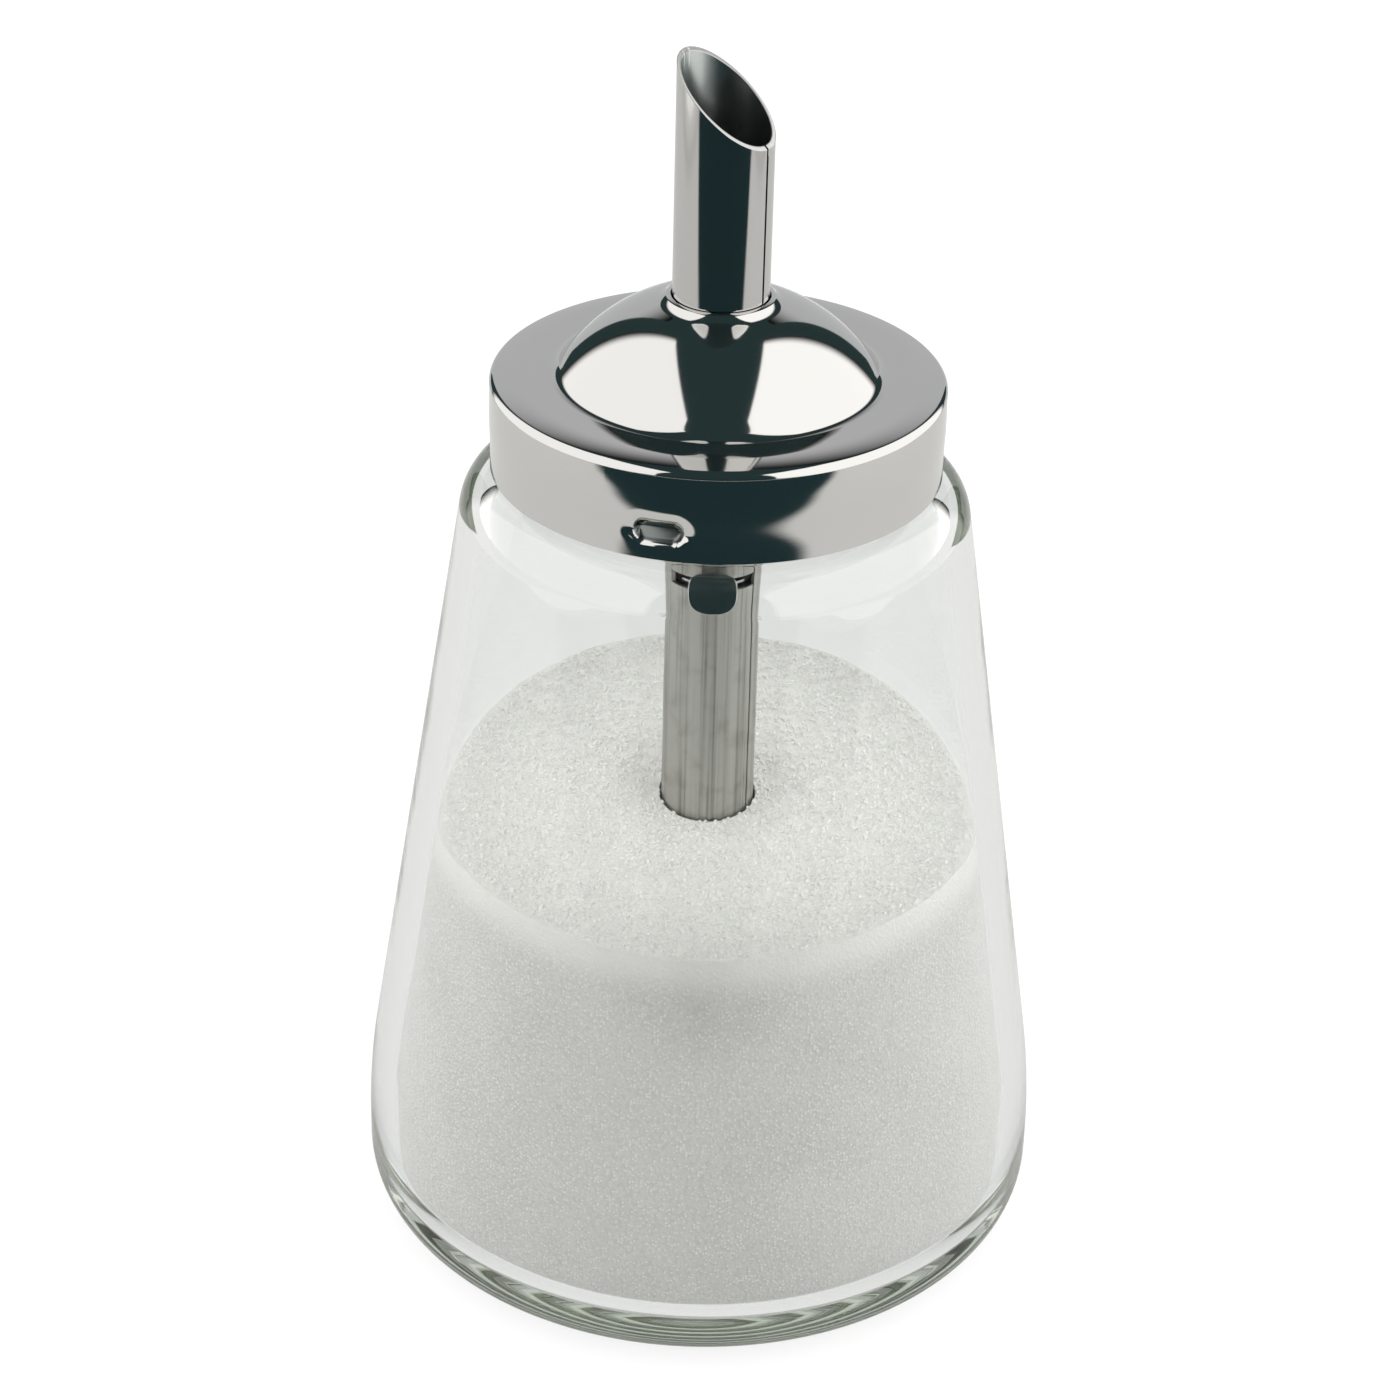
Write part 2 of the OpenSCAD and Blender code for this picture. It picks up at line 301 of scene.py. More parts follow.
@dataclass(frozen=True)
class PolishedSteel:
    """Sheet steel polished round the cap's axis; where the wheel can't reach it is rougher, and its colour
    is painted dark as shade.

    The wheel misses what lies deeper in the skirt than sunk_from to sunk_to, and lower than
    bend_from to bend_to under its top.
    """

    skirt_r: float
    skirt_top: float
    sunk_from: float = 0.35 * MM
    sunk_to: float = 0.6 * MM
    bend_from: float = 2.1 * MM
    bend_to: float = 2.4 * MM
    colour: Colour = (0.63, 0.625, 0.61, 1.0)
    # Painted shade: the dark colour of the pressed part, standing in for shade in the lugs' hollows
    dull_and_shade: Colour = (0.20, 0.215, 0.21, 1.0)
    roughness: float = 0.05
    dull_roughness: float = 0.17
    smudge_scale: float = 90.0
    smudge_detail: float = 3.0
    smudge_span: Span = (0.5, 0.8)
    smudge_roughness: float = 0.03
    ring_scale: float = 9000.0
    ring_detail: float = 1.0
    ring_depth: float = 0.0006 * MM
    ring_roughness: float = 0.02

    def make(self) -> bpy.types.Material:
        """Builds the material.

        Returns:
            The finished material.
        """
        made, graph = new_material("polished_cap_look")
        x, y, z = graph.split(graph.place())
        radius = (x * x + y * y) ** 0.5
        rings = graph.grain(graph.vector(radius, z, 0.0), self.ring_scale, self.ring_detail)
        smudges = graph.grain(graph.place(), self.smudge_scale, self.smudge_detail)
        sunk = (self.skirt_r - radius).step(self.sunk_from, self.sunk_to)
        pressed = sunk * z.step(self.skirt_top - self.bend_to, self.skirt_top - self.bend_from, 1.0, 0.0)
        worn = self.roughness + smudges.step(*self.smudge_span, 0.0, self.smudge_roughness)
        graph.surface(graph.principled({
            # Painted shade: the pressed part takes the dark colour
            "Base Color": graph.mix(pressed, self.colour, self.dull_and_shade),
            "Metallic": 1.0,
            "Roughness": worn + rings * self.ring_roughness + self.dull_roughness * pressed,
            "Normal": graph.relief(rings, self.ring_depth),
        }))
        return made


@dataclass(frozen=True)
class TubeSteel:
    """The rolled tube: polished above the dome, dull and scored lengthwise inside the jar."""

    polished: Colour = (0.53, 0.525, 0.515, 1.0)
    dull_and_shade: Colour = (0.53, 0.525, 0.50, 1.0)
    stained: Colour = (0.30, 0.29, 0.255, 1.0)
    bore: Colour = (0.44, 0.47, 0.46, 1.0)
    polish_z: float = 112.0 * MM
    polish_fade: float = 1.0 * MM
    bore_r: float = 5.0 * MM
    bore_fade: float = 0.05 * MM
    draw_ratio: float = 0.012
    score_scale: float = 2600.0
    score_detail: float = 3.0
    score_depth: float = 0.02 * MM
    score_span: Span = (0.56, 0.7)
    score_share: float = 0.5
    score_roughness: float = 0.02
    polished_relief: float = 0.12
    streak_scale: float = 780.0
    streak_detail: float = 2.0
    streak_span: Span = (0.42, 0.66)
    streak_score_span: Span = (0.3, 0.6)
    streak_share: float = 0.7
    stain_scale: float = 380.0
    stain_detail: float = 5.0
    stain_span: Span = (0.5, 0.75)
    stain_share: float = 0.4
    roughness: float = 0.05
    dull_roughness: float = 0.25
    dull_score_roughness: float = 0.2
    dull_metal_loss: float = 0.1
    bore_roughness: float = 0.2

    def make(self) -> bpy.types.Material:
        """Builds the material.

        Returns:
            The finished material.
        """
        made, graph = new_material("rolled_tube_look")
        x, y, z = graph.split(graph.place())
        low = z.step(self.polish_z - self.polish_fade, self.polish_z, 1.0, 0.0)
        radius = (x * x + y * y) ** 0.5
        inside = radius.step(self.bore_r - self.bore_fade, self.bore_r, 1.0, 0.0)
        drawn = graph.vector(x, y, z * self.draw_ratio)
        scores = graph.grain(drawn, self.score_scale, self.score_detail)
        streaks = graph.grain(drawn, self.streak_scale, self.streak_detail)
        stains = graph.grain(graph.place(), self.stain_scale, self.stain_detail)
        streaky = streaks.step(*self.streak_span)
        shade = (self.streak_share * streaky * scores.step(*self.streak_score_span)
                 + self.stain_share * stains.step(*self.stain_span)
                 + self.score_share * scores.step(*self.score_span))
        colour = graph.mix(low * shade.least(1.0), self.dull_and_shade, self.stained)
        colour = graph.mix(low, self.polished, colour)
        rough = (self.roughness + self.score_roughness * scores
                 + low * (self.dull_roughness + self.dull_score_roughness * scores))
        relief = self.polished_relief + (1.0 - self.polished_relief) * low
        graph.surface(graph.principled({
            "Base Color": graph.mix(inside * (1.0 - low), colour, self.bore),
            "Metallic": 1.0 - low * self.dull_metal_loss,
            "Roughness": rough + self.bore_roughness * inside,
            "Normal": graph.relief(scores * relief, self.score_depth),
        }))
        return made


@dataclass(frozen=True)
class SheetSteel:
    """Small bright or plain pieces of sheet steel."""

    name: str
    colour: Colour
    roughness: float
    rub_scale: float = 700.0
    rub_detail: float = 3.0
    rub_depth: float = 0.002 * MM
    rub_roughness: float = 0.08

    def make(self) -> bpy.types.Material:
        """Builds the material.

        Returns:
            The finished material.
        """
        made, graph = new_material(self.name)
        rub = graph.grain(graph.place(), self.rub_scale, self.rub_detail)
        graph.surface(graph.principled({
            "Base Color": self.colour,
            "Metallic": 1.0,
            "Roughness": self.roughness + self.rub_roughness * rub,
            "Normal": graph.relief(rub, self.rub_depth),
        }))
        return made


@dataclass(frozen=True)
class SoftSeal:
    """Pale soft plastic of the seal."""

    colour: Colour = (0.80, 0.80, 0.77, 1.0)
    skin_scale: float = 1800.0
    skin_detail: float = 2.0
    skin_depth: float = 0.02 * MM
    roughness: float = 0.5
    skin_roughness: float = 0.15

    def make(self) -> bpy.types.Material:
        """Builds the material.

        Returns:
            The finished material.
        """
        made, graph = new_material("soft_seal_look")
        skin = graph.grain(graph.place(), self.skin_scale, self.skin_detail)
        graph.surface(graph.principled({
            "Base Color": self.colour,
            "Roughness": self.roughness + self.skin_roughness * skin,
            "Normal": graph.relief(skin, self.skin_depth),
        }))
        return made


@dataclass(frozen=True)
class SugarBed:
    """Packed white sugar: fine grains, with a paler band near the top painted as light that soaks a little
    way down, painted glints, and painted shade between the grains.
    """

    level: float
    slope: float
    # Painted light: under the top the bed is painted paler, from light_top down to light_depth
    light_top: float = 0.5 * MM
    light_depth: float = 5.5 * MM
    # The pale and the darker colour: the darker one is mixed in by random tone and drift, and as painted
    # shade between grains
    pale: Colour = (0.985, 0.975, 0.96, 1.0)
    shaded: Colour = (0.60, 0.595, 0.58, 1.0)
    grain_size: float = 0.34 * MM
    grain_depth: float = 0.12 * MM
    grain_relief: float = 0.9
    plain_share: float = 0.46
    tone_share: float = 0.16
    # Painted shade between grains: where in a cell it starts, and its share
    gap_shade_span: Span = (0.3, 0.9)
    gap_shade_share: float = 0.16
    drift_scale: float = 70.0
    drift_detail: float = 3.0
    drift_span: Span = (0.4, 0.7)
    drift_share: float = 0.1
    lit_loss: float = 0.92
    # Painted glints: pale spots in the middle of some cells
    glint_depth: Span = (0.2, 0.5)
    glint_tone: Span = (0.45, 0.7)
    glint_loss: float = 0.9
    roughness: float = 0.45
    tone_roughness: float = 0.3

    def make(self) -> bpy.types.Material:
        """Builds the material.

        Returns:
            The finished material.
        """
        made, graph = new_material("sugar_bed_look")
        where = graph.place()
        scale = 1.0 / self.grain_size
        depth = graph.cells(where, scale, "Distance")
        tone = graph.wire("ShaderNodeSeparateColor", inputs={0: graph.cells(where, scale, "Color")})
        drift = graph.grain(where, self.drift_scale, self.drift_detail)
        _, y, z = graph.split(where)
        # Painted light: a paler band under the top stands in for light that soaks into the grains
        below = self.level + self.slope * y - z
        lit = 1.0 - below.step(self.light_top, self.light_depth)
        # Painted glints: pale spots stand in for crystal faces that catch the light
        glint = (1.0 - depth.step(*self.glint_depth)) * tone.step(*self.glint_tone)
        # Darker towards the cells' borders: painted shade in the gaps between grains
        share = (self.plain_share + self.tone_share * tone
                 + self.gap_shade_share * depth.step(*self.gap_shade_span)
                 + self.drift_share * drift.step(*self.drift_span))
        share = share * (1.0 - self.glint_loss * glint) * (1.0 - self.lit_loss * lit)
        graph.surface(graph.principled({
            "Base Color": graph.mix(share, self.pale, self.shaded),
            "Roughness": self.roughness + self.tone_roughness * tone,
            "Normal": graph.relief(1.0 - depth, self.grain_depth, self.grain_relief),
        }))
        return made


@dataclass(frozen=True)
class SugarCrystal:
    """Single loose crystals: pale, each a slightly different tone, with glinting faces."""

    pale: Colour = (0.98, 0.975, 0.96, 1.0)
    shaded: Colour = (0.94, 0.935, 0.92, 1.0)
    tone_scale: float = 1800.0
    roughness: float = 0.08
    glint_roughness: float = 0.5
    index: float = 1.54

    def make(self) -> bpy.types.Material:
        """Builds the material.

        Returns:
            The finished material.
        """
        made, graph = new_material("sugar_crystal_look")
        tone = graph.cells(graph.place(), self.tone_scale, "Color")
        parts = graph.node("ShaderNodeSeparateColor", inputs={0: tone}).outputs
        share, glint = Wire(graph, parts[0]), Wire(graph, parts[1])
        graph.surface(graph.principled({
            "Base Color": graph.mix(share, self.pale, self.shaded),
            "Roughness": self.roughness + self.glint_roughness * glint,
            "IOR": self.index,
        }))
        return made


# Mesh building


def arc(cx: float, cz: float, r: float, start: float, end: float, steps: int) -> Outline:
    """Points on a circle from one angle to another.

    Args:
        cx: Centre's distance from the axis.
        cz: Centre's height.
        r: Radius.
        start: First angle, in radians.
        end: Last angle.
        steps: Number of steps between them.

    Returns:
        steps + 1 points.
    """
    turns = (start + (end - start) * i / steps for i in range(steps + 1))
    return [(cx + r * math.cos(a), cz + r * math.sin(a)) for a in turns]


def line(first: Point, last: Point, steps: int) -> Outline:
    """Points between two points, without the two themselves."""
    shares = (i / steps for i in range(1, steps))
    return [(first[0] + (last[0] - first[0]) * s, first[1] + (last[1] - first[1]) * s) for s in shares]


def joined(*parts: Outline) -> Outline:
    """Joins outlines one after the other.

    Args:
        *parts: The outlines.

    Returns:
        Their points, without doubled ones.
    """
    points: Outline = []
    for part in parts:
        for point in part:
            if not points or math.dist(points[-1], point) > SAME_POINT:
                points.append(point)
    return points


def linked(name: str, data: bpy.types.ID) -> bpy.types.Object:
    """Makes an object and puts it into the scene.

    Args:
        name: Name of the object.
        data: Its mesh or camera.

    Returns:
        The object.
    """
    made = bpy.data.objects.new(name, data)
    bpy.context.scene.collection.objects.link(made)
    return made


def smoothed(mesh: bpy.types.Mesh, crease: float) -> None:
    """Shades a mesh smooth, with its edges past crease degrees left sharp."""
    mesh.shade_smooth()
    mesh.set_sharp_from_angle(angle=math.radians(crease))


def bevelled(piece: bpy.types.Object, width: float, segments: int) -> None:
    """Rounds the sharp edges of a piece with a modifier.

    Args:
        piece: The piece.
        width: Width of the rounding, in metres.
        segments: Number of steps across it.
    """
    bevel = piece.modifiers.new("edges", "BEVEL")
    bevel.width = width
    bevel.segments = segments
    bevel.angle_limit = math.radians(BEVEL_ANGLE)


def object_from(name: str, vertices: np.ndarray, faces: list[tuple[int, ...]],
                crease: float = CREASE) -> bpy.types.Object:
    """Makes a smooth shaded mesh object.

    Args:
        name: Name of the object and its mesh.
        vertices: One row for each point.
        faces: Numbers of each face's points.
        crease: Angle past which an edge is sharp, in degrees.

    Returns:
        The object, in the scene.
    """
    mesh = bpy.data.meshes.new(name)
    mesh.from_pydata([tuple(v) for v in vertices], [], faces)
    mesh.validate()
    smoothed(mesh, crease)
    return linked(name, mesh)


def grid_faces(rows: int, columns: int, wrap_rows: bool) -> list[tuple[int, ...]]:
    """Quads of a grid that always closes round its columns.

    Args:
        rows: Number of rows of points.
        columns: Number of points in a row.
        wrap_rows: True to close the last row on the first.

    Returns:
        Numbers of each quad's points.
    """
    faces = []
    for i in range(rows if wrap_rows else rows - 1):
        low, high = i * columns, (i + 1) % rows * columns
        for j in range(columns):
            k = (j + 1) % columns
            faces.append((low + j, low + k, high + k, high + j))
    return faces


def revolved(name: str, radii: np.ndarray, heights: np.ndarray, angles: np.ndarray,
             ring: bool = False, crease: float = CREASE) -> bpy.types.Object:
    """Turns rows of radii and heights round the Z axis.

    Args:
        name: Name of the object.
        radii: One row for each outline point, and one column for each angle or one for all.
        heights: The same for the heights.
        angles: The columns' directions.
        ring: True to close the last row on the first; otherwise both ends run to the axis.
        crease: Angle past which an edge is sharp, in degrees.

    Returns:
        A closed mesh with its faces outwards.
    """
    rows, columns = len(radii), len(angles)
    heights = np.broadcast_to(heights, (rows, columns))
    points = np.stack([radii * np.cos(angles), radii * np.sin(angles), heights], axis=-1).reshape(-1, 3)
    faces = grid_faces(rows, columns, ring)
    if not ring:
        low, high = len(points), len(points) + 1
        ends = np.array([[0.0, 0.0, heights[0].mean()], [0.0, 0.0, heights[-1].mean()]])
        points = np.vstack([points, ends])
        last = (rows - 1) * columns
        for j in range(columns):
            k = (j + 1) % columns
            faces.append((low, k, j))
            faces.append((high, last + j, last + k))
    return object_from(name, points, faces, crease)


def sheet_solid(name: str, outer: np.ndarray, inner: np.ndarray, cells: np.ndarray) -> bpy.types.Object:
    """A sheet between two grids of points, with walls round every border and hole.

    Args:
        name: Name of the object.
        outer: Points of the outer face, by row and column.
        inner: Points of the inner face.
        cells: True for each cell that is metal.

    Returns:
        A closed mesh with its faces outwards.
    """
    rows, columns = outer.shape[:2]
    under = rows * columns
    points = np.vstack([outer.reshape(-1, 3), inner.reshape(-1, 3)])
    faces = []
    for i, j in zip(*np.nonzero(cells)):
        corners = [(i, j), (i, j + 1), (i + 1, j + 1), (i + 1, j)]
        ring = [a * columns + b for a, b in corners]
        faces.append(tuple(ring))
        faces.append(tuple(under + k for k in reversed(ring)))
        beside = [(i - 1, j), (i, j + 1), (i + 1, j), (i, j - 1)]
        for side, (a, b) in enumerate(beside):
            inside = 0 <= a < rows - 1 and 0 <= b < columns - 1 and cells[a, b]
            if not inside:
                first, second = ring[side], ring[(side + 1) % 4]
                faces.append((second, first, first + under, second + under))
    used = sorted({k for face in faces for k in face})
    place = {k: n for n, k in enumerate(used)}
    return object_from(name, points[used], [tuple(place[k] for k in face) for face in faces])


def dress(piece: bpy.types.Object, material: bpy.types.Material, body: Body, slot: Slot,
          *nodes: str) -> None:
    """Gives a piece its finish and its place in the assembly.

    Args:
        piece: The piece.
        material: Its finish.
        body: The body that it rides on.
        slot: Not used.
        *nodes: The CAD nodes that it stands for.
    """
    piece.data.materials.clear()
    piece.data.materials.append(material)
    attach(piece, body.value)
    if nodes:
        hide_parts(*nodes)
    log.info("%s: %d faces", piece.name, len(piece.data.polygons))


def smooth_share(value: np.ndarray) -> np.ndarray:
    """Eases values from 0 to 1, and holds them outside."""
    held = np.clip(value, 0.0, 1.0)
    return held * held * (3.0 - 2.0 * held)


# Geometry Nodes


def new_tree(name: str, inputs: dict[str, str]) -> bpy.types.NodeTree:
    """Makes a Geometry Nodes tree that takes and gives a geometry.

    Args:
        name: Name of the tree.
        inputs: Kind of each further input, by its name.

    Returns:
        The tree, without nodes.
    """
    tree = bpy.data.node_groups.new(name, "GeometryNodeTree")
    for label, kind in {"Geometry": "Geometry", **inputs}.items():
        tree.interface.new_socket(label, in_out="INPUT", socket_type="NodeSocket" + kind)
    tree.interface.new_socket("Geometry", in_out="OUTPUT", socket_type="NodeSocketGeometry")
    return tree


def end_tree(graph: Graph, shape: Wire, material: Wire | bpy.types.Material) -> None:
    """Ends a Geometry Nodes graph in real geometry with its finish.

    Args:
        graph: The tree's graph.
        shape: What the tree makes.
        material: The finish, or the input that holds it.
    """
    real = graph.wire("GeometryNodeRealizeInstances", inputs={0: shape})
    painted = graph.wire("GeometryNodeSetMaterial", inputs={0: real, "Material": material})
    graph.node("NodeGroupOutput", inputs={0: painted})


def run_tree(plain: bpy.types.Object, tree: bpy.types.NodeTree, values: dict[str, object],
             name: str) -> bpy.types.Object:
    """Runs a Geometry Nodes tree on an object, which goes.

    Args:
        plain: The object.
        tree: The tree.
        values: Values of the tree's inputs, by their names.
        name: Name of the result.

    Returns:
        What the tree makes, as a plain mesh object.
    """
    modifier = plain.modifiers.new(name, "NODES")
    modifier.node_group = tree
    for item in tree.interface.items_tree:
        if item.in_out == "INPUT" and item.name in values:
            modifier[item.identifier] = values[item.name]
    evaluated = plain.evaluated_get(bpy.context.evaluated_depsgraph_get())
    mesh = bpy.data.meshes.new_from_object(evaluated)
    mesh.name = name
    made = linked(name, mesh)
    bpy.data.objects.remove(plain)
    return made


class FieldTree:
    """A Geometry Nodes tree that pushes a turned mesh in or out by a rule."""

    def __init__(self, name: str, sizes: dict[str, float]) -> None:
        """Starts the tree.

        Args:
            name: Name of the tree.
            sizes: Its named inputs and their values.
        """
        self.tree = new_tree(name, {**dict.fromkeys(sizes, "Float"), "Material": "Material"})
        self.sizes = sizes
        self.graph = Graph(self.tree)
        given = self.graph.node("NodeGroupInput").outputs
        self.given = {socket.name: Wire(self.graph, socket) for socket in given if socket.name}
        self.x, self.y, self.height = self.graph.split(self.graph.wire("GeometryNodeInputPosition"))
        self.radius = (self.x * self.x + self.y * self.y) ** 0.5

    def __getitem__(self, size: str) -> Wire:
        """One of the tree's inputs."""
        return self.given[size]

    def turn(self) -> Wire:
        """Works out where a point lies among evenly spaced repeats.

        Returns:
            Angle from the nearest repeat.
        """
        share = math.tau / self["Count"]
        shifted = self.y.direction(self.x) - self["First angle"] + share / 2.0
        return shifted.folded(share) - share / 2.0

    def push(self, distance: Wire) -> None:
        """Ends the tree: every point moves away from the axis.

        Args:
            distance: How far each point moves.
        """
        share = distance / self.radius.most(1e-6)
        offset = self.graph.vector(self.x * share, self.y * share, 0.0)
        moved = self.graph.wire("GeometryNodeSetPosition", inputs={0: self["Geometry"], "Offset": offset})
        end_tree(self.graph, moved, self["Material"])

    def applied(self, plain: bpy.types.Object, name: str, material: bpy.types.Material,
                crease: float = CREASE) -> bpy.types.Object:
        """Runs the tree on an object, which goes.

        Args:
            plain: The turned mesh.
            name: Name of the result.
            material: Its finish.
            crease: Angle past which an edge is sharp, in degrees.

        Returns:
            The pushed mesh as a plain object.
        """
        made = run_tree(plain, self.tree, {**self.sizes, "Material": material}, name)
        smoothed(made.data, crease)
        return made


# The jar


@dataclass
class Jar:
    """The glass jar: a barrel arc that runs up into a cone, a shoulder and a threaded neck."""

    belly_z: float = 9.5 * MM
    barrel_r: float = 82.0 * MM
    cone_z: float = 21.0 * MM
    shoulder_step: float = 2.7 * MM
    shoulder_z: float = 94.4 * MM
    shoulder_round: float = 5.0 * MM
    heel_round: float = 7.0 * MM
    wall: float = 3.0 * MM
    shoulder_wall: float = 2.1 * MM
    base: float = 4.5 * MM
    floor_round: float = 5.0 * MM
    floor_middle: float = 1.0 * MM
    dish_r: float = 29.0 * MM
    dish_h: float = 1.6 * MM
    dish_start: float = 0.02
    neck_r: float = 22.6 * MM
    neck_wall: float = 2.8 * MM
    rim_round: float = 1.0 * MM
    root_round: float = 0.8 * MM
    throat_round: float = 1.7 * MM
    throat_flat: float = 0.5 * MM
    ridge_h: float = 1.2 * MM
    ridge_root: float = 1.4 * MM
    ridge_crest: float = 0.9 * MM
    ridge_span: float = math.radians(70.0)
    ridge_fade: float = math.radians(6.0)
    ridge_middle: float = math.radians(-79.1)
    ridge_z: float = 102.15 * MM
    ridge_reach: float = 0.5 * MM
    ridge_reach_fade: float = 0.2 * MM
    ridge_count: int = 3
    lead: float = 9.0 * MM
    columns: int = 256

    def __post_init__(self) -> None:
        """Takes the driving sizes from the frame and works out the outline's own."""
        self.belly_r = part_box("glass_jar")[1][0]
        self.neck_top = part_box("glass_jar")[1][2]
        self.barrel_c = self.belly_r - self.barrel_r
        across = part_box("cap_shell")[1][0] + self.shoulder_step - self.barrel_c
        up = self.shoulder_z - self.belly_z
        self.taper = math.atan2(up, across) - math.acos(self.barrel_r / math.hypot(across, up))
        self.ceiling = self.shoulder_z - self.shoulder_wall
        self.bore_r = self.neck_r - self.neck_wall
        rise = (self.ceiling - self.belly_z) * math.sin(self.taper)
        flat_end = self.bore_r + self.throat_round + self.throat_flat - self.barrel_c
        self.inner_round = ((self.barrel_r - self.wall - rise - flat_end * math.cos(self.taper))
                            / (1.0 - math.sin(self.taper)))
        self.floor_cz = self.base + self.floor_round
        reach = self.barrel_r - self.wall - self.floor_round
        self.floor_cr = self.barrel_c + math.sqrt(reach ** 2 - (self.floor_cz - self.belly_z) ** 2)
        self.floor_a = math.asin((self.floor_cz - self.belly_z) / reach)

    def cone_r(self, z: float, inset: float) -> float:
        """Radius of the cone at a height, inset metres inside its outer face."""
        drop = (z - self.belly_z) * math.sin(self.taper)
        return self.barrel_c + (self.barrel_r - inset - drop) / math.cos(self.taper)

    def cone(self, high: float, inset: float) -> Outline:
        """The cone's straight part from its foot up to a height, without the two ends."""
        return line((self.cone_r(self.cone_z, inset), self.cone_z), (self.cone_r(high, inset), high), 12)

    def outer(self) -> Outline:
        """Draws the outside of the jar.

        Returns:
            Points from the middle of the base to the foot of the neck.
        """
        big = (self.dish_r ** 2 + self.dish_h ** 2) / (2.0 * self.dish_h)
        edge = self.shoulder_z - self.shoulder_round
        return joined(
            arc(0.0, self.dish_h - big, big, QUARTER - self.dish_start,
                QUARTER - math.asin(self.dish_r / big), 16),
            arc(self.belly_r - self.heel_round, self.heel_round, self.heel_round, -QUARTER, 0.0, 20),
            arc(self.barrel_c, self.belly_z, self.barrel_r, 0.0, self.taper, 10),
            self.cone(edge, 0.0),
            arc(self.cone_r(edge, self.shoulder_round), edge, self.shoulder_round, self.taper, QUARTER, 20),
            arc(self.neck_r + self.root_round, self.shoulder_z + self.root_round, self.root_round,
                3.0 * QUARTER, math.pi, 8))

    def neck(self) -> Outline:
        """Draws the neck's outside, its rim and its bore.

        Returns:
            Points from the shoulder over the rim and down to the ceiling of the jar.
        """
        top = self.neck_top - self.rim_round
        return joined(
            line((self.neck_r, self.shoulder_z + self.root_round), (self.neck_r, top), 44),
            arc(self.neck_r - self.rim_round, top, self.rim_round, 0.0, QUARTER, 10),
            arc(self.bore_r + self.rim_round, top, self.rim_round, QUARTER, math.pi, 10),
            arc(self.bore_r + self.throat_round, self.ceiling + self.throat_round, self.throat_round,
                math.pi, 3.0 * QUARTER, 12))

    def inner(self, inset: float = 0.0) -> Outline:
        """Draws the inside of the jar.

        Args:
            inset: How far inside the glass the outline runs.

        Returns:
            Points from the ceiling to the floor.
        """
        top = self.ceiling - self.inner_round
        barrel = self.barrel_r - self.wall - inset
        return joined(
            arc(self.cone_r(top, self.wall + self.inner_round), top, self.inner_round - inset,
                QUARTER, self.taper, 14),
            self.cone(top, self.wall + inset)[::-1],
            arc(self.barrel_c, self.belly_z, barrel, self.taper, self.floor_a, 10),
            arc(self.floor_cr, self.floor_cz, self.floor_round - inset, self.floor_a, -QUARTER, 20))

    def ridges(self) -> FieldTree:
        """Writes the rule that raises the thread ridges out of the neck.

        Returns:
            The rule as a Geometry Nodes tree.
        """
        tree = FieldTree("thread_ridges", {
            "Count": float(self.ridge_count), "First angle": self.ridge_middle,
            "Height": self.ridge_h, "Middle height": self.ridge_z, "Lead": self.lead,
            "Span": self.ridge_span, "Fade": self.ridge_fade,
            "Foot width": self.ridge_root, "Crest width": self.ridge_crest,
            "Neck radius": self.neck_r,
        })
        turn = tree.turn()
        off = (tree.height - tree["Middle height"] - tree["Lead"] * turn / math.tau).size()
        flank = (tree["Foot width"] / 2.0 - off) / ((tree["Foot width"] - tree["Crest width"]) / 2.0)
        ends = (tree["Span"] / 2.0 - turn.size()) / tree["Fade"]
        outside = (tree.radius - tree["Neck radius"] + self.ridge_reach) / self.ridge_reach_fade
        share = flank.step(0.0, 1.0) * ends.step(0.0, 1.0) * outside.step(0.0, 1.0)
        tree.push(tree["Height"] * share)
        return tree

    def build(self, glass: bpy.types.Material) -> None:
        """Builds and dresses the jar.

        Args:
            glass: Its finish.
        """
        floor = [(self.floor_middle, self.base)]
        outline = np.array(joined(self.outer(), self.neck(), self.inner(), floor))
        angles = np.linspace(0.0, math.tau, self.columns, endpoint=False)
        plain = revolved("plain_jar", outline[:, :1], outline[:, 1:], angles)
        piece = self.ridges().applied(plain, "jar_glass", glass)
        dress(piece, glass, Body.JAR, Slot.GLASS, "glass_jar")


# The sugar


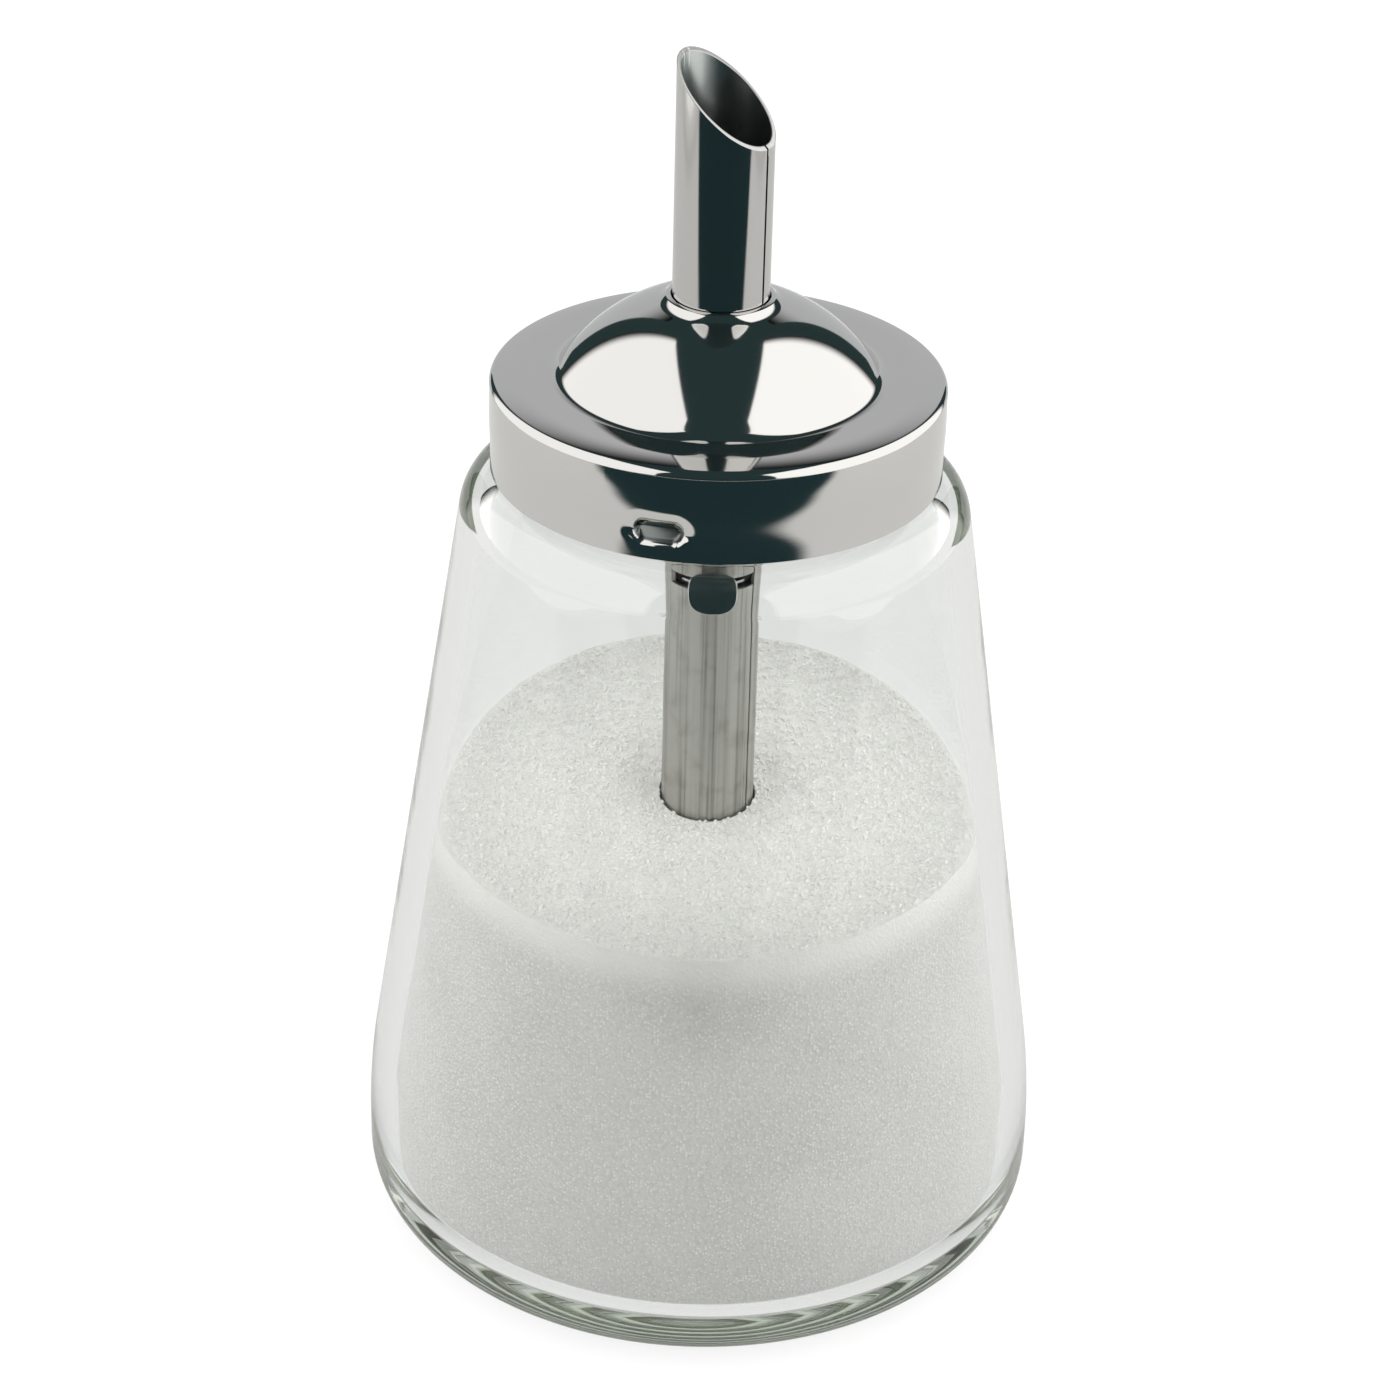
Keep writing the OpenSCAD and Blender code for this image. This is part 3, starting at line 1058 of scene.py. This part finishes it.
@dataclass
class Sugar:
    """The loose sugar: a sloping bed with a hollow round the tube, and loose crystals on top."""

    jar: Jar
    level: float = 54.7 * MM
    slope: float = math.tan(math.radians(7.4))
    crater_r: float = 12.0 * MM
    crater_h: float = 1.0 * MM
    gap: float = 0.3 * MM
    hole_r: float = 5.6 * MM
    foot_gap: float = 6.0 * MM
    middle_r: float = 0.5 * MM
    lump: float = 0.2 * MM
    lump_scale: float = 110.0
    columns: int = 240
    top_rows: int = 60
    side_rows: int = 40
    side_crowding: float = 1.5
    edge_rounds: int = 4
    crease: float = 50.0
    crystal: float = 0.42 * MM
    crystal_sides: tuple[float, float, float] = (1.0, 0.8, 0.65)
    crystal_least: float = 0.55
    crystal_most: float = 1.25
    crystals_per_area: float = 4.0e6
    seed: int = 7

    def surface(self, x: np.ndarray, y: np.ndarray) -> np.ndarray:
        """Works out the top of the bed.

        Args:
            x: Points of the floor plan.
            y: The same.

        Returns:
            Height of the sugar over each point.
        """
        far = np.hypot(x, y)
        share = smooth_share((far - self.hole_r) / (self.crater_r - self.hole_r))
        plain = self.level + self.slope * y - self.crater_h * (1.0 - share)
        lumps = [noise.fractal(Vector((a * self.lump_scale, b * self.lump_scale, 3.0)), 1.0, 2.0, 4)
                 for a, b in zip(x.ravel(), y.ravel())]
        return plain + self.lump * np.array(lumps).reshape(x.shape)

    def side_radius(self, height: np.ndarray) -> np.ndarray:
        """Radius of the sugar against the glass at each height."""
        outline = np.array(self.jar.inner(self.gap))[::-1]
        return np.interp(height, outline[:, 1], outline[:, 0])

    def level_row(self, value: float) -> np.ndarray:
        """One value for every column, as a row."""
        return np.full((1, self.columns), value)

    def build(self, bed: bpy.types.Material, loose: bpy.types.Material) -> None:
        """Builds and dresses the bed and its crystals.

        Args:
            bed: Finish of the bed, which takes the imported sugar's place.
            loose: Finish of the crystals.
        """
        angles = np.linspace(0.0, math.tau, self.columns, endpoint=False)
        across, along = np.cos(angles), np.sin(angles)
        edge = np.full(self.columns, self.side_radius(np.array([self.level]))[0])
        for _ in range(self.edge_rounds):
            rim = self.surface(edge * across, edge * along)
            edge = self.side_radius(rim)
        low = self.jar.base + self.gap
        side_shares = np.linspace(0.0, 1.0, self.side_rows) ** self.side_crowding
        side = low + (rim - low) * side_shares[:, None]
        shares = np.linspace(1.0, 0.0, self.top_rows)[1:, None]
        top_r = self.hole_r + (edge - self.hole_r) * shares
        top = self.surface(top_r * across, top_r * along)
        foot = self.level_row(self.jar.base + self.foot_gap - self.gap)
        middle = self.level_row(self.middle_r)
        radii = np.vstack([middle, self.side_radius(side), top_r, self.level_row(self.hole_r), middle])
        heights = np.vstack([self.level_row(low), side, top, foot, foot])
        piece = revolved("sugar_bed", radii, heights, angles, crease=self.crease)
        dress(piece, bed, Body.JAR, Slot.SUGAR, "sugar_fill")
        points = np.stack([top_r * across, top_r * along, top], axis=-1).reshape(-1, 3)
        cover = object_from("sugar_cover", points, grid_faces(len(top_r), self.columns, False))
        dress(self.scatter(cover, loose), loose, Body.JAR, Slot.SUGAR)

    def scatter(self, cover: bpy.types.Object, loose: bpy.types.Material) -> bpy.types.Object:
        """Strews crystals over the bed with Geometry Nodes.

        Args:
            cover: The bed's top as a mesh, which goes.
            loose: The crystals' finish.

        Returns:
            The crystals as a plain mesh.
        """
        values = {"Crystals per area": self.crystals_per_area, "Crystal size": self.crystal,
                  "Seed": self.seed}
        tree = new_tree("strewn_crystals", dict(zip(values, ("Float", "Float", "Int"))))
        graph = Graph(tree)
        given = graph.node("NodeGroupInput").outputs
        ground, density, size, seed = (Wire(graph, given[i]) for i in range(4))
        spread = graph.wire("GeometryNodeDistributePointsOnFaces",
                            inputs={"Mesh": ground, "Density": density, "Seed": seed})
        block = graph.wire("GeometryNodeMeshCube", inputs={"Size": self.crystal_sides})
        turn = graph.wire("FunctionNodeRandomValue", {"data_type": "FLOAT_VECTOR"},
                          {0: (0.0, 0.0, 0.0), 1: (math.tau, math.tau, math.tau), "Seed": seed})
        scale = graph.wire("FunctionNodeRandomValue", {"data_type": "FLOAT"},
                           {2: self.crystal_least, 3: self.crystal_most, "Seed": seed}, output=1)
        placed = graph.wire("GeometryNodeInstanceOnPoints", inputs={
            "Points": spread, "Instance": block, "Rotation": turn, "Scale": scale * size})
        end_tree(graph, placed, loose)
        return run_tree(cover, tree, values, "sugar_crystals")


# The cap


@dataclass
class Cap:
    """The pressed cap: skirt with three lugs, flat ring, dome and a lip round the tube."""

    sheet: float = 0.5 * MM
    cap_h: float = 10.8 * MM
    edge_round: float = 1.7 * MM
    tight_round: float = 0.9 * MM
    ring_w: float = 7.2 * MM
    ring_fall: float = math.radians(12.0)
    ring_bend: float = 14.0 * MM
    dome_h: float = 9.5 * MM
    foot_round: float = 1.8 * MM
    lip_round: float = 1.6 * MM
    lip_end: float = math.radians(20.0)
    lip_gap: float = 0.15 * MM
    wide_lip: float = 3.2 * MM
    wide_end: float = math.radians(44.0)
    hem_lean: float = math.radians(1.1)
    waist: float = 0.42
    waist_width: float = 0.2
    waist_lean: float = math.radians(3.3)
    brow: float = 0.75
    brow_lean: float = math.radians(2.2)
    lean_steps: int = 200
    lug_count: int = 3
    lug_angle: float = math.radians(-103.8)
    lug_reach: float = math.radians(14.0)
    lug_z: float = 2.9 * MM
    lug_w: float = 5.6 * MM
    lug_h: float = 2.4 * MM
    lug_depth: float = 1.3 * MM
    lug_flat: float = 0.75 * MM
    lug_wall: float = 1.2 * MM
    lug_funnel: float = 2.7 * MM
    lug_steep: float = 0.5
    lug_tip: float = 0.07
    brim_share: float = 0.35
    brim_end: float = 0.2 * MM
    near_columns: int = 64
    far_columns: int = 40
    crease: float = 40.0

    def __post_init__(self) -> None:
        """Takes the cap's size from the frame and works out the dome."""
        low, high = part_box("cap_shell")
        self.r = high[0]
        self.skirt_z = low[2]
        self.top = self.skirt_z + self.cap_h
        tube_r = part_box("spout_tube")[1][0]
        self.throat_r = tube_r + self.lip_gap + self.sheet * math.cos(self.lip_end)
        dome_r = self.r - self.ring_w
        self.big = (dome_r ** 2 + self.dome_h ** 2) / (2.0 * self.dome_h)
        self.dome_cz = self.top + self.dome_h - self.big
        self.foot_cz = self.top + self.foot_round
        rise = self.foot_cz - self.dome_cz
        self.foot_cr = math.sqrt((self.big + self.foot_round) ** 2 - rise ** 2)
        self.foot_a = math.atan2(rise, self.foot_cr)
        drop = self.ring_bend * (1.0 - math.cos(self.ring_fall))
        self.over_bend = self.top - drop - self.tight_round * math.cos(self.ring_fall)

    def lip(self, bend: float, end: float) -> tuple[float, float, float]:
        """Fits an arc for the lip between the dome and the throat.

        Args:
            bend: Radius of the arc.
            end: Angle of its last point, from the horizontal.

        Returns:
            The centre's radius and height, and the angle where arc and dome touch.
        """
        centre_r = self.throat_r + bend * math.cos(end)
        rise = math.sqrt((self.big + bend) ** 2 - centre_r ** 2)
        return centre_r, self.dome_cz + rise, math.atan2(rise, centre_r)

    def under(self) -> Outline:
        """Draws the sheet's lower face.

        Returns:
            Points from the skirt to the lip.
        """
        side = self.r - self.sheet
        bend = self.top - self.edge_round
        flat = self.top - self.sheet
        centre_r, centre_z, start = self.lip(self.lip_round, self.lip_end)
        return joined(
            [(side, self.skirt_z)],
            line((side, self.skirt_z), (side, bend), 42),
            arc(self.r - self.edge_round, bend, self.edge_round - self.sheet, 0.0, QUARTER, 16),
            line((self.r - self.edge_round, flat), (self.foot_cr, flat), 12),
            arc(self.foot_cr, self.foot_cz, self.foot_round + self.sheet, 3.0 * QUARTER,
                math.pi + self.foot_a, 14),
            arc(0.0, self.dome_cz, self.big - self.sheet, self.foot_a, start, 30),
            arc(centre_r, centre_z, self.lip_round + self.sheet, math.pi + start,
                math.pi + self.lip_end, 12))

    def over(self) -> Outline:
        """Draws the polished upper face: a tight edge, a ring that rounds off slowly, and a wide lip.

        Returns:
            Points from the skirt to the lip.
        """
        steep = QUARTER - self.ring_fall
        bend = self.over_bend
        flat_r = self.r - self.tight_round * (1.0 - math.cos(steep)) - self.ring_bend * math.cos(steep)
        centre_r, centre_z, start = self.lip(self.wide_lip, self.wide_end)
        return joined(
            [(self.r, self.skirt_z)],
            line((self.r, self.skirt_z), (self.r, bend), 42),
            arc(self.r - self.tight_round, bend, self.tight_round, 0.0, steep, 16),
            arc(flat_r, self.top - self.ring_bend, self.ring_bend, steep, QUARTER, 12),
            line((flat_r, self.top), (self.foot_cr, self.top), 4),
            arc(self.foot_cr, self.foot_cz, self.foot_round, 3.0 * QUARTER, math.pi + self.foot_a, 14),
            arc(0.0, self.dome_cz, self.big, self.foot_a, start, 30),
            arc(centre_r, centre_z, self.wide_lip, math.pi + start, math.pi + self.wide_end, 14))

    def directions(self) -> np.ndarray:
        """Spreads the columns of the mesh, closer together round the lugs.

        Returns:
            The columns' directions.
        """
        gap = math.tau / self.lug_count - 2.0 * self.lug_reach
        parts = []
        for i in range(self.lug_count):
            middle = self.lug_angle + i * math.tau / self.lug_count
            start, end = middle - self.lug_reach, middle + self.lug_reach
            parts.append(np.linspace(start, end, self.near_columns, endpoint=False))
            parts.append(np.linspace(end, end + gap, self.far_columns, endpoint=False))
        return np.concatenate(parts)

    def swelled(self, face: Outline, bend: float) -> Outline:
        """One face with its rolled skirt staying a little inside a straight line.

        Args:
            face: Outline of the face, with a straight skirt.
            bend: Height at which its skirt ends.

        Returns:
            The same points, those of the skirt moved in.
        """
        points = np.array(face)
        skirt = points[:, 1] < bend + SAME_POINT
        high = bend - self.skirt_z
        steps = np.linspace(0.0, 1.0, self.lean_steps)
        lean = (self.hem_lean - self.waist_lean * np.exp(-((steps - self.waist) / self.waist_width) ** 2)
                + self.brow_lean * smooth_share((steps - self.brow) / (1.0 - self.brow)))
        slopes = -np.tan((lean[1:] + lean[:-1]) / 2.0) * high / (self.lean_steps - 1)
        side = np.concatenate([[0.0], np.cumsum(slopes)])
        shares = (points[skirt, 1] - self.skirt_z) / high
        points[skirt, 0] -= side.max() - np.interp(shares, steps, side)
        return [tuple(point) for point in points]

    def lugs(self) -> FieldTree:
        """Writes the rule that presses the lugs into the skirt.

        Returns:
            The rule as a Geometry Nodes tree.
        """
        tree = FieldTree("pressed_lugs", {
            "Count": float(self.lug_count), "First angle": self.lug_angle,
            "Depth": self.lug_depth, "Middle height": self.skirt_z + self.lug_z,
            "Half length": (self.lug_w - self.lug_h) / 2.0, "Flat": self.lug_flat,
            "Wall": self.lug_wall, "Funnel": self.lug_funnel, "Tip": self.lug_tip,
            "Skirt radius": self.r,
        })
        along = (tree.turn() * tree["Skirt radius"]).size()
        over = (along - tree["Half length"]).most(0.0)
        up = tree.height - tree["Middle height"]
        away = (over * over + up * up) ** 0.5
        steep = ((tree["Wall"] - away) / (tree["Wall"] - tree["Flat"])).step(0.0, 1.0)
        gentle = (tree["Funnel"] - away) / (tree["Funnel"] - tree["Flat"])
        brim = up.step(-self.lug_wall, self.brim_end, self.brim_share, 1.0)
        gentle = gentle.most(0.0).least(1.0) * brim
        share = self.lug_steep * steep + (1.0 - self.lug_steep) * gentle * gentle
        tipped = 1.0 + tree["Tip"] * up / tree["Wall"]
        tree.push(tree["Depth"] * share * tipped * -1.0)
        return tree

    def build(self, steel: bpy.types.Material) -> None:
        """Builds and dresses the cap.

        Args:
            steel: Its finish.
        """
        outer = self.swelled(self.over(), self.over_bend)
        inner = self.swelled(self.under(), self.top - self.edge_round)
        outline = np.array(joined(outer, inner[::-1]))
        plain = revolved("plain_cap", outline[:, :1], outline[:, 1:], self.directions(), True, self.crease)
        piece = self.lugs().applied(plain, "cap_metal", steel, self.crease)
        dress(piece, steel, Body.CAP, Slot.CAP, "cap_shell")


# The spout


@dataclass
class Spout:
    """The rolled tube with its open seam, slanting mouth and flap slot."""

    sheet: float = 0.45 * MM
    mouth_z: float = 137.4 * MM
    mouth_tilt: float = math.tan(math.radians(40.3))
    mouth_angle: float = math.radians(152.6)
    seam_w: float = 0.25 * MM
    seam_angle: float = math.radians(-32.0)
    slot_low: float = 81.6 * MM
    slot_high: float = 83.4 * MM
    slot_front: float = 2.65 * MM
    straight_top: float = 124.0 * MM
    columns: int = 216
    whole_columns: int = 144
    low_rows: int = 30
    high_rows: int = 18
    mouth_rows: int = 10
    edge: float = 0.06 * MM

    def __post_init__(self) -> None:
        """Takes the tube's size from the frame."""
        low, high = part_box("spout_tube")
        self.r = high[0]
        self.foot = low[2]

    def skin(self, radius: float) -> np.ndarray:
        """Draws one face of the rolled sheet.

        Args:
            radius: Its distance from the tube's axis.

        Returns:
            A grid of points, from the seam round to the seam and from the foot to the mouth.
        """
        open_half = math.asin(self.seam_w / 2.0 / radius)
        start = self.seam_angle + open_half
        end = self.seam_angle + math.tau - open_half
        slot = math.pi + math.asin(self.slot_front / radius)
        angles = np.concatenate([np.linspace(start, slot, self.whole_columns, endpoint=False),
                                 np.linspace(slot, end, self.columns - self.whole_columns)])
        top = self.mouth_z + radius * np.cos(angles - self.mouth_angle) * self.mouth_tilt
        fixed = np.concatenate([np.linspace(self.foot, self.slot_low, self.low_rows),
                                np.linspace(self.slot_high, self.straight_top, self.high_rows)])
        shares = np.linspace(0.0, 1.0, self.mouth_rows)[1:, None]
        above = fixed[-1] + (top - fixed[-1]) * shares
        heights = np.vstack([np.repeat(fixed[:, None], len(angles), axis=1), above])
        return np.stack([np.broadcast_to(radius * np.cos(angles), heights.shape),
                         np.broadcast_to(radius * np.sin(angles), heights.shape), heights], axis=-1)

    def build(self, steel: bpy.types.Material) -> None:
        """Builds and dresses the tube.

        Args:
            steel: Its finish.
        """
        outer, inner = self.skin(self.r), self.skin(self.r - self.sheet)
        rows, columns = outer.shape[:2]
        cells = np.ones((rows - 1, columns - 1), dtype=bool)
        cells[self.low_rows - 1, self.whole_columns:] = False
        piece = sheet_solid("spout_metal", outer, inner, cells)
        bevelled(piece, self.edge, 2)
        dress(piece, steel, Body.CAP, Slot.TUBE, "spout_tube")


# The flap


@dataclass
class Flap:
    """The gravity flap: a disc in the bore, a neck through the slot and a tongue outside."""

    sheet: float = 0.5 * MM
    disc_r: float = 4.4 * MM
    disc_steps: int = 72
    neck_w: float = 3.2 * MM
    tongue_w: float = 5.4 * MM
    tongue_h: float = 5.2 * MM
    tongue_steps: int = 96
    upper_power: float = 3.2
    lower_power: float = 2.5
    tilt: float = math.radians(20.0)
    run_gap: float = 0.3 * MM
    edge: float = 0.08 * MM
    crease: float = 40.0

    def __post_init__(self) -> None:
        """Takes the flap's place from the frame."""
        tube_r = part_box("spout_tube")[1][0]
        half = self.tongue_h / 2.0 * math.cos(self.tilt) + self.sheet / 2.0 * math.sin(self.tilt)
        self.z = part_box("spout_flap")[1][2] - half
        self.tongue_y = (tube_r + self.run_gap + self.sheet / 2.0
                         + self.tongue_h / 2.0 * math.sin(self.tilt))

    def slab(self, form: bmesh.types.BMesh, outline: Outline, place: Matrix) -> None:
        """Adds a closed slab of the sheet's thickness.

        Args:
            form: The mesh that it goes into.
            outline: Its outline.
            place: Where it lies.
        """
        half = self.sheet / 2.0
        low = [form.verts.new(place @ Vector((x, y, -half))) for x, y in outline]
        high = [form.verts.new(place @ Vector((x, y, half))) for x, y in outline]
        form.faces.new(high)
        form.faces.new(low[::-1])
        for i in range(len(outline)):
            k = (i + 1) % len(outline)
            form.faces.new((low[i], low[k], high[k], high[i]))

    def plate_outline(self) -> Outline:
        """Draws the disc with its neck.

        Returns:
            Its outline, seen from above.
        """
        half = self.neck_w / 2.0
        turn = math.asin(half / self.disc_r)
        disc = arc(0.0, 0.0, self.disc_r, turn - QUARTER, math.tau - turn - QUARTER, self.disc_steps)
        return joined(disc, [(-half, -self.tongue_y), (half, -self.tongue_y)])

    def tongue_outline(self) -> Outline:
        """Draws the tongue: nearly straight above, bellied sides and a round lower end.

        Returns:
            Its outline, seen from its face.
        """
        points = []
        for across, along in arc(0.0, 0.0, 1.0, 0.0, math.tau, self.tongue_steps)[:-1]:
            power = 2.0 / (self.upper_power if along > 0.0 else self.lower_power)
            points.append((self.tongue_w / 2.0 * math.copysign(abs(across) ** power, across),
                           self.tongue_h / 2.0 * math.copysign(abs(along) ** power, along)))
        return joined(points)

    def build(self, steel: bpy.types.Material) -> None:
        """Builds and dresses the flap.

        Args:
            steel: Its finish.
        """
        form = bmesh.new()
        self.slab(form, self.plate_outline(), Matrix.Translation((0.0, 0.0, self.z)))
        lean = Matrix.Rotation(QUARTER - self.tilt, 4, "X")
        self.slab(form, self.tongue_outline(), Matrix.Translation((0.0, -self.tongue_y, self.z)) @ lean)
        mesh = bpy.data.meshes.new("flap_metal")
        form.to_mesh(mesh)
        form.free()
        smoothed(mesh, self.crease)
        piece = linked("flap_metal", mesh)
        bevelled(piece, self.edge, 3)
        dress(piece, steel, Body.FLAP, Slot.FLAP, "spout_flap")


# The studio


def stage_sheet(name: str, corners: Corners, material: bpy.types.Material) -> bpy.types.Object:
    """Makes a flat sheet that belongs to the studio and not to the object.

    Args:
        name: Name of the sheet.
        corners: Its four corners.
        material: Its finish.

    Returns:
        The sheet.
    """
    mesh = bpy.data.meshes.new(name)
    mesh.from_pydata(corners, [], [(0, 1, 2, 3)])
    mesh.materials.append(material)
    sheet = linked(name, mesh)
    return sheet


class SeenBy(Enum):
    """What a lit card shows itself to."""

    METAL = "metal and matt things"
    GLASS = "rays that have passed through glass"


@dataclass(frozen=True)
class Card:
    """A flat lit panel beside the object that only gives light and reflections."""

    name: str
    corners: Corners
    colour: Colour
    strength: float
    fill: float
    fade_back: float = 0.0
    fade_top: float = 0.0
    seen_by: SeenBy = SeenBy.METAL

    def glow(self, graph: Graph) -> Wire:
        """Works out the strength: full in the card's middle, and more for what matt things receive.

        Args:
            graph: Graph of the card's material.

        Returns:
            The strength at each point.
        """
        matt = graph.ray("Diffuse Depth").least(1.0)
        level = self.strength * (1.0 + (self.fill - 1.0) * matt)
        _, y, z = graph.split(graph.place())
        back, top = self.corners[2][1], self.corners[2][2]
        if self.fade_back:
            level = level * (back - y).step(0.0, self.fade_back)
        if self.fade_top:
            level = level * (top - z).step(0.0, self.fade_top)
        return level

    def build(self) -> None:
        """Builds the panel, out of the camera's sight and without a shadow."""
        made, graph = new_material(self.name + "_light")
        inputs = {"Color": self.colour, "Strength": self.glow(graph)}
        graph.surface(graph.wire("ShaderNodeEmission", inputs=inputs))
        card = stage_sheet(self.name, self.corners, made)
        card.visible_camera = False
        card.visible_shadow = False
        if self.seen_by is SeenBy.GLASS:
            card.visible_glossy = False
            card.visible_diffuse = False


@dataclass
class Studio:
    """A white table between two large soft panels, in front of a pale wall."""

    side: float = 0.35
    panel_front: float = -0.66
    panel_back: float = 0.42
    panel_low: float = 0.01
    panel_top: float = 1.08
    panel_fade: float = 0.1
    panel_soft_top: float = 0.06
    panel_colour: Colour = (1.0, 0.99, 0.975, 1.0)
    left_strength: float = 1.35
    right_strength: float = 1.5
    fill: float = 1.7
    wall_y: float = 0.55
    wall_half: float = 0.30
    wall_top: float = 0.75
    wall_colour: Colour = (0.97, 0.99, 1.0, 1.0)
    wall_strength: float = 0.62
    wall_fade: float = 0.38
    wall_fill: float = 3.6
    sweep_y: float = 0.60
    sweep_half: float = 1.5
    sweep_top: float = 1.2
    overhead: float = 1.5
    overhead_from: float = 0.2
    overhead_to: float = 0.7
    behind_from: float = -0.4
    behind_to: float = 0.1
    aside: float = 0.8
    dark: Colour = (0.028, 0.05, 0.052, 1.0)
    table_half: float = 3.0
    table_front: float = -0.165
    table_edge: float = 0.014
    table_colour: Colour = (0.48, 0.48, 0.474, 1.0)
    table_dark: Colour = (0.011, 0.024, 0.027, 1.0)
    table_through: float = 0.83
    table_plain: float = 0.8
    reflections: int = 56
    crossings: int = 32

    def panel(self, name: str, x: float, strength: float) -> Card:
        """One side panel.

        Args:
            name: Its name.
            x: Where it stands.
            strength: Its light.

        Returns:
            The panel.
        """
        front, back, low, top = self.panel_front, self.panel_back, self.panel_low, self.panel_top
        corners = ((x, front, low), (x, back, low), (x, back, top), (x, front, top))
        return Card(name, corners, self.panel_colour, strength, self.fill, self.panel_fade,
                    self.panel_soft_top)

    def upright(self, half: float, y: float, top: float) -> Corners:
        """Corners of an upright card behind the table."""
        return (-half, y, 0.0), (half, y, 0.0), (half, y, top), (-half, y, top)

    def table(self) -> None:
        """The white table: plain white to the camera, with the object's soft shadow; to other rays grey,
        and painted dark in front as painted shade.
        """
        made, graph = new_material("table_top")
        x, y, _ = graph.split(graph.place())
        seen, through = graph.ray("Is Camera Ray"), graph.ray("Is Transmission Ray")
        # Painted shade: in front of table_front the table is painted nearly black to reflections, matt
        # light and rays through glass, standing in for the dark room on the camera's side
        inward = y + through * x.size() * self.aside
        lit = inward.step(self.table_front - self.table_edge, self.table_front + self.table_edge)
        colour = graph.mix(seen, graph.mix(lit, self.table_dark, self.table_colour), WHITE)
        glow = graph.mix((seen + lit).least(1.0), self.table_dark, WHITE)
        matte = graph.wire("ShaderNodeBsdfDiffuse", inputs={"Color": colour})
        strength = 1.0 - (1.0 - self.table_through) * through
        bright = graph.wire("ShaderNodeEmission", inputs={"Color": glow, "Strength": strength})
        share = (seen * self.table_plain + through).least(1.0)
        graph.surface(graph.wire("ShaderNodeMixShader", inputs={0: share, 1: matte, 2: bright}))
        half = self.table_half
        stage_sheet("table", ((-half, -half, 0.0), (half, -half, 0.0), (half, half, 0.0),
                              (-half, half, 0.0)), made)

    def world(self) -> None:
        """White to the camera, a dark room to metal and glass, and light from above on matt things."""
        world = bpy.data.worlds.new("room")
        world.use_nodes = True
        bpy.context.scene.world = world
        graph = Graph(world.node_tree)
        seen, matt = graph.ray("Is Camera Ray"), graph.ray("Diffuse Depth").least(1.0)
        x, y, z = graph.split(graph.wire("ShaderNodeTexCoord"))
        above = z.step(self.overhead_from, self.overhead_to)
        behind = (y + x.size() * self.aside).step(self.behind_from, self.behind_to)
        matt = matt * above.most(behind)
        through = graph.ray("Is Transmission Ray") * behind
        colour = graph.mix((seen + matt + through).least(1.0), self.dark, WHITE)
        strength = 1.0 + (self.table_through - 1.0) * through
        strength = strength + matt * (self.overhead - strength)
        ground = graph.wire("ShaderNodeBackground", inputs={"Color": colour, "Strength": strength})
        graph.node("ShaderNodeOutputWorld", inputs={"Surface": ground})

    def light_paths(self) -> None:
        """Follows light through the jar's glass, where it is reflected many times."""
        cycles = bpy.context.scene.cycles
        cycles.glossy_bounces = self.reflections
        cycles.transmission_bounces = self.crossings
        cycles.max_bounces = self.crossings + self.reflections

    def build(self) -> None:
        """Sets the table, panels, wall and room."""
        self.table()
        self.panel("left_panel", -self.side, self.left_strength).build()
        self.panel("right_panel", self.side, self.right_strength).build()
        wall = self.upright(self.wall_half, self.wall_y, self.wall_top)
        Card("back_wall", wall, self.wall_colour, self.wall_strength, self.wall_fill,
             fade_top=self.wall_fade).build()
        sweep = self.upright(self.sweep_half, self.sweep_y, self.sweep_top)
        Card("white_sweep", sweep, self.wall_colour, self.table_through, self.wall_fill,
             seen_by=SeenBy.GLASS).build()
        self.world()
        self.light_paths()
        bpy.context.scene.view_settings.view_transform = "Standard"


@dataclass
class PhotoCamera:
    """The photograph's viewpoint, from a fit of the silhouette."""

    place: tuple[float, float, float] = (0.0, -0.361, 0.2677)
    yaw: float = -0.0045
    pitch: float = 0.51
    roll: float = 0.026
    focal_pixels: float = 3622.6
    sensor: float = 36.0
    nearest: float = 0.01

    def build(self) -> None:
        """Makes the camera and sets it as the scene's."""
        level = math.cos(self.pitch)
        ahead = Vector((math.sin(self.yaw) * level, math.cos(self.yaw) * level, -math.sin(self.pitch)))
        right = ahead.cross(Vector((0.0, 0.0, 1.0))).normalized()
        up = right.cross(ahead)
        across = right * math.cos(self.roll) + up * math.sin(self.roll)
        above = up * math.cos(self.roll) - right * math.sin(self.roll)
        turn = Matrix((across, above, -ahead)).transposed().to_4x4()
        data = bpy.data.cameras.new("photo_camera")
        data.sensor_width = self.sensor
        data.lens = self.focal_pixels / IMAGE_SIDE * self.sensor
        data.clip_start = self.nearest
        camera = linked("photo_camera", data)
        camera.matrix_world = Matrix.Translation(self.place) @ turn
        bpy.context.scene.camera = camera


def finish_node(node: str, material: bpy.types.Material) -> None:
    """Gives a CAD node that stays its finish.

    Args:
        node: Name of the node.
        material: The finish.
    """
    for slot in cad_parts[node].material_slots:
        slot.material = material
    log.info("%s: the CAD mesh, with %s", node, material.name)


def main() -> None:
    """Builds every piece and the studio."""
    logging.basicConfig(level=logging.INFO)
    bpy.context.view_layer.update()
    jar = Jar()
    jar.build(ClearGlass().make())
    sugar = Sugar(jar)
    sugar.build(SugarBed(sugar.level, sugar.slope).make(), SugarCrystal().make())
    cap = Cap()
    cap.build(PolishedSteel(cap.r, cap.top).make())
    Spout().build(TubeSteel().make())
    Flap().build(SheetSteel("flap_look", (0.52, 0.53, 0.53, 1.0), 0.06).make())
    finish_node("tube_ferrule", SheetSteel("ferrule_look", (0.45, 0.45, 0.43, 1.0), 0.3).make())
    finish_node("seal_ring", SoftSeal().make())
    Studio().build()
    PhotoCamera().build()


if __name__ == "__main__":
    main()
